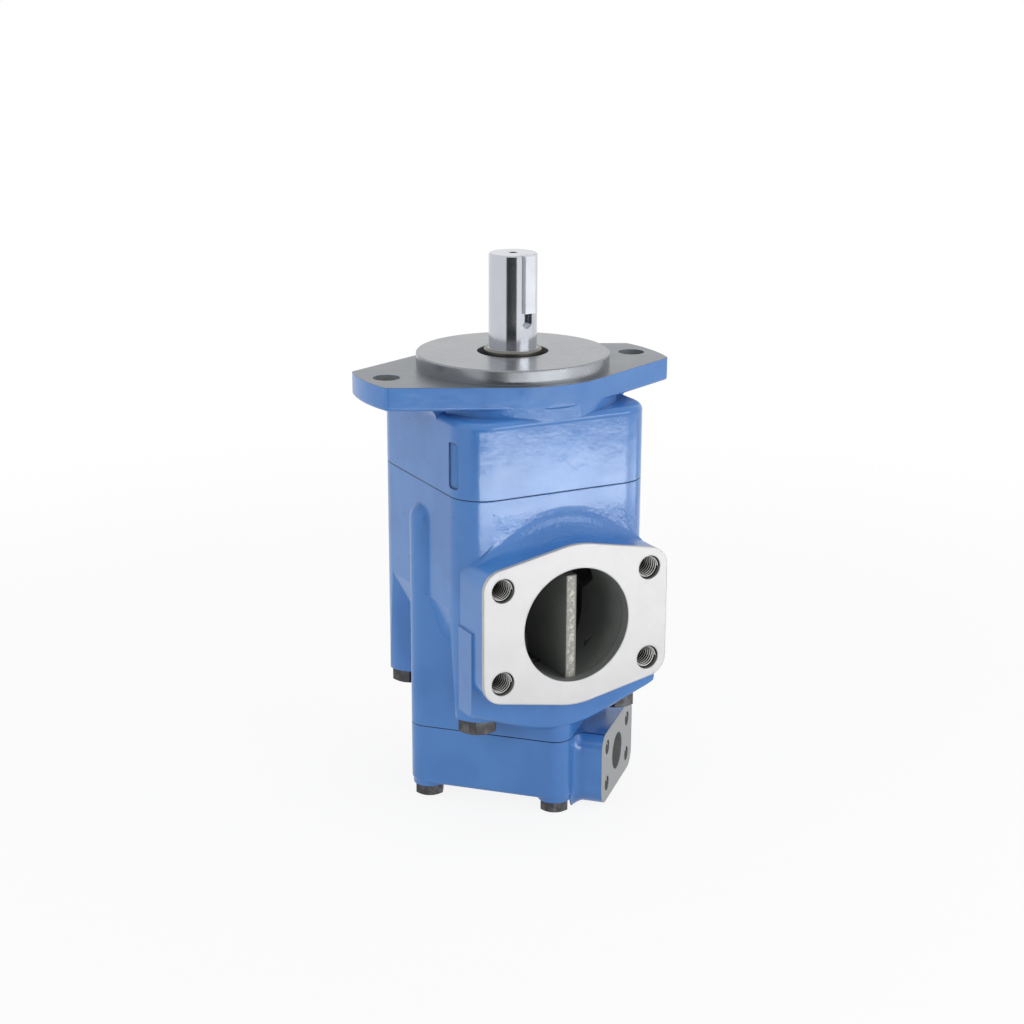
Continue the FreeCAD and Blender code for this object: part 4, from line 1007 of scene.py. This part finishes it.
@dataclass(frozen=True)
class Card:
    """A curved card round the pump that only gloss sees: white, grey or a black flag."""

    name: str
    azimuths: tuple[float, float]
    heights: tuple[float, float]
    distance: float
    level: float

    def build(self) -> None:
        """Models the card as a strip of a cylinder and gives it its glow."""
        bpy.ops.object.select_all(action="DESELECT")
        low, high = self.heights
        bpy.ops.mesh.primitive_cylinder_add(
            vertices=180, radius=self.distance, depth=high - low,
            end_fill_type="NOTHING", location=(0, 0, (low + high) / 2))
        card = bpy.context.active_object
        card.name = self.name
        bpy.ops.object.transform_apply(location=True, rotation=True, scale=True)
        bpy.ops.object.mode_set(mode="EDIT")
        bpy.ops.mesh.select_all(action="DESELECT")
        bpy.ops.object.mode_set(mode="OBJECT")
        for face in card.data.polygons:
            azimuth = math.degrees(math.atan2(face.center.y, face.center.x)) % 360
            face.select = not self.azimuths[0] < azimuth < self.azimuths[1]
        bpy.ops.object.mode_set(mode="EDIT")
        bpy.ops.mesh.delete(type="FACE")
        bpy.ops.object.mode_set(mode="OBJECT")
        material, desk = new_material(self.name)
        glow = desk.node("ShaderNodeEmission", inputs={"Color": WHITE, "Strength": self.level})
        desk.node("ShaderNodeOutputMaterial", inputs={"Surface": glow.out("Emission")})
        card.data.materials.append(material)
        card.visible_camera = False
        card.visible_diffuse = False
        card.visible_transmission = False
        card.visible_shadow = False
        card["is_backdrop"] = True
        LOG.info("card %s", self.name)


@dataclass
class Studio:
    """Pale floor, white surroundings, soft lamps and the photograph's camera."""

    floor_z: float
    ambience: float = 0.50
    camera_place: Triple = (-0.5760, -1.1044, 0.26735)
    camera_turn: float = -27.54
    camera_drop: float = 16.48
    camera_roll: float = 0.21
    lens: float = 67.99
    cards: tuple[Card, ...] = (
        Card("shaft_flag", (213.0, 259.0), (-0.205, 0.20), 0.70, 0.055),
        Card("low_card", (235.5, 310.0), (-0.34, -0.207), 0.72, 12.5),
        Card("side_card", (310.0, 350.0), (-0.34, -0.207), 0.72, 5.0),
        Card("key_card", (259.0, 350.0), (-0.205, 0.12), 0.70, 1.15),
        Card("high_card", (276.0, 322.0), (0.18, 0.34), 0.72, 5.5),
    )
    lamps: tuple[Lamp, ...] = (
        Lamp("right_lamp", (0.62, -0.85, 0.12), (0.0, 0.0, -0.14), 1.10, 0.90, 6.0),
        Lamp("left_lamp", (-1.05, -0.22, 0.12), (0.0, 0.0, -0.12), 1.10, 0.95, 4.3),
        Lamp("top_lamp", (0.05, 0.10, 0.95), (0.0, 0.0, 0.0), 0.70, 0.60, 3.5),
    )

    def build(self) -> None:
        """Adds the world, the floor, the lamps and the camera."""
        scene = bpy.context.scene
        scene.view_settings.view_transform = "Standard"
        self._world(scene)
        self._floor()
        for light in (*self.lamps, *self.cards):
            light.build()
        self._camera(scene)

    def _world(self, scene: bpy.types.Scene) -> None:
        """White round the object for the camera and for gloss, dimmer as light.

        Args:
            scene: The scene that gets the world.
        """
        world = bpy.data.worlds.new("studio")
        world.use_nodes = True
        scene.world = world
        desk = Desk(world.node_tree)
        path = desk.node("ShaderNodeLightPath")
        seen = path.number("Is Camera Ray") | path.number("Is Glossy Ray") | path.number(
            "Is Transmission Ray")
        level = self.ambience + seen * (1 - self.ambience)
        sky = desk.node("ShaderNodeBackground", inputs={"Color": WHITE, "Strength": level})
        desk.node("ShaderNodeOutputWorld", inputs={"Surface": sky.out(0)})

    def _floor(self) -> None:
        """Pale floor that is white to the camera and keeps a faint shadow."""
        bpy.ops.object.select_all(action="DESELECT")
        bpy.ops.mesh.primitive_plane_add(size=60.0, location=(0, 0, self.floor_z - 0.0002))
        floor = bpy.context.active_object
        floor.name = "studio_floor"
        material, desk = new_material("studio_floor")
        speck = desk.cloud(30.0)
        paper = desk.tint(speck, (0.80, 0.80, 0.80), (0.82, 0.82, 0.82))
        shell = desk.node("ShaderNodeBsdfPrincipled",
                          inputs={"Base Color": paper, "Roughness": 0.9})
        glow = desk.node("ShaderNodeEmission", inputs={"Color": WHITE, "Strength": 1.0})
        path = desk.node("ShaderNodeLightPath")
        seen = path.number("Is Camera Ray") | path.number("Is Glossy Ray") | path.number(
            "Is Transmission Ray")
        x, y, _ = desk.axes()
        away = desk.ramp((x * x + y * y).root(), 0.25, 1.1)
        mixed = desk.node("ShaderNodeMixShader",
                          inputs={0: seen * desk.blend(away, 0.88, 1.0), 1: shell.out("BSDF"),
                                  2: glow.out("Emission")})
        desk.node("ShaderNodeOutputMaterial", inputs={"Surface": mixed.out(0)})
        floor.data.materials.append(material)
        floor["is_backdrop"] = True

    def _camera(self, scene: bpy.types.Scene) -> None:
        """Camera at the photograph's viewpoint.

        Args:
            scene: The scene that gets the camera.
        """
        data = bpy.data.cameras.new("photo_camera")
        data.lens = self.lens
        data.sensor_width = 36.0
        camera = bpy.data.objects.new("photo_camera", data)
        turn = (Matrix.Rotation(math.radians(self.camera_turn), 4, "Z")
                @ Matrix.Rotation(math.radians(90 - self.camera_drop), 4, "X")
                @ Matrix.Rotation(math.radians(self.camera_roll), 4, "Z"))
        camera.matrix_world = Matrix.Translation(self.camera_place) @ turn
        scene.collection.objects.link(camera)
        scene.camera = camera


def corners_of(box: Sequence[Vector]) -> list[list[float]]:
    """A box as plain lists of numbers."""
    return [[float(value) for value in corner] for corner in box]


def main() -> None:
    """Builds the finishes, the thread coils and the studio."""
    logging.basicConfig(level=logging.INFO, format="%(message)s")
    cad_box = corners_of(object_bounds())
    slots = {item["node"]: item["material_slot"] for item in frame["record"]["subparts"]}
    finishes = Finishes()
    finishes.dress(frame["nodes"], slots)
    for port, turns in ((SUCTION, 9), (FRONT_OUTLET, 11), (REAR_OUTLET, 11)):
        TappedHoles(port, turns).build(ThreadPaintedLight().material(port))
    Studio(floor_z=cad_box[0][2]).build()
    LOG.info("boxes written")


if __name__ == "__main__":
    main()
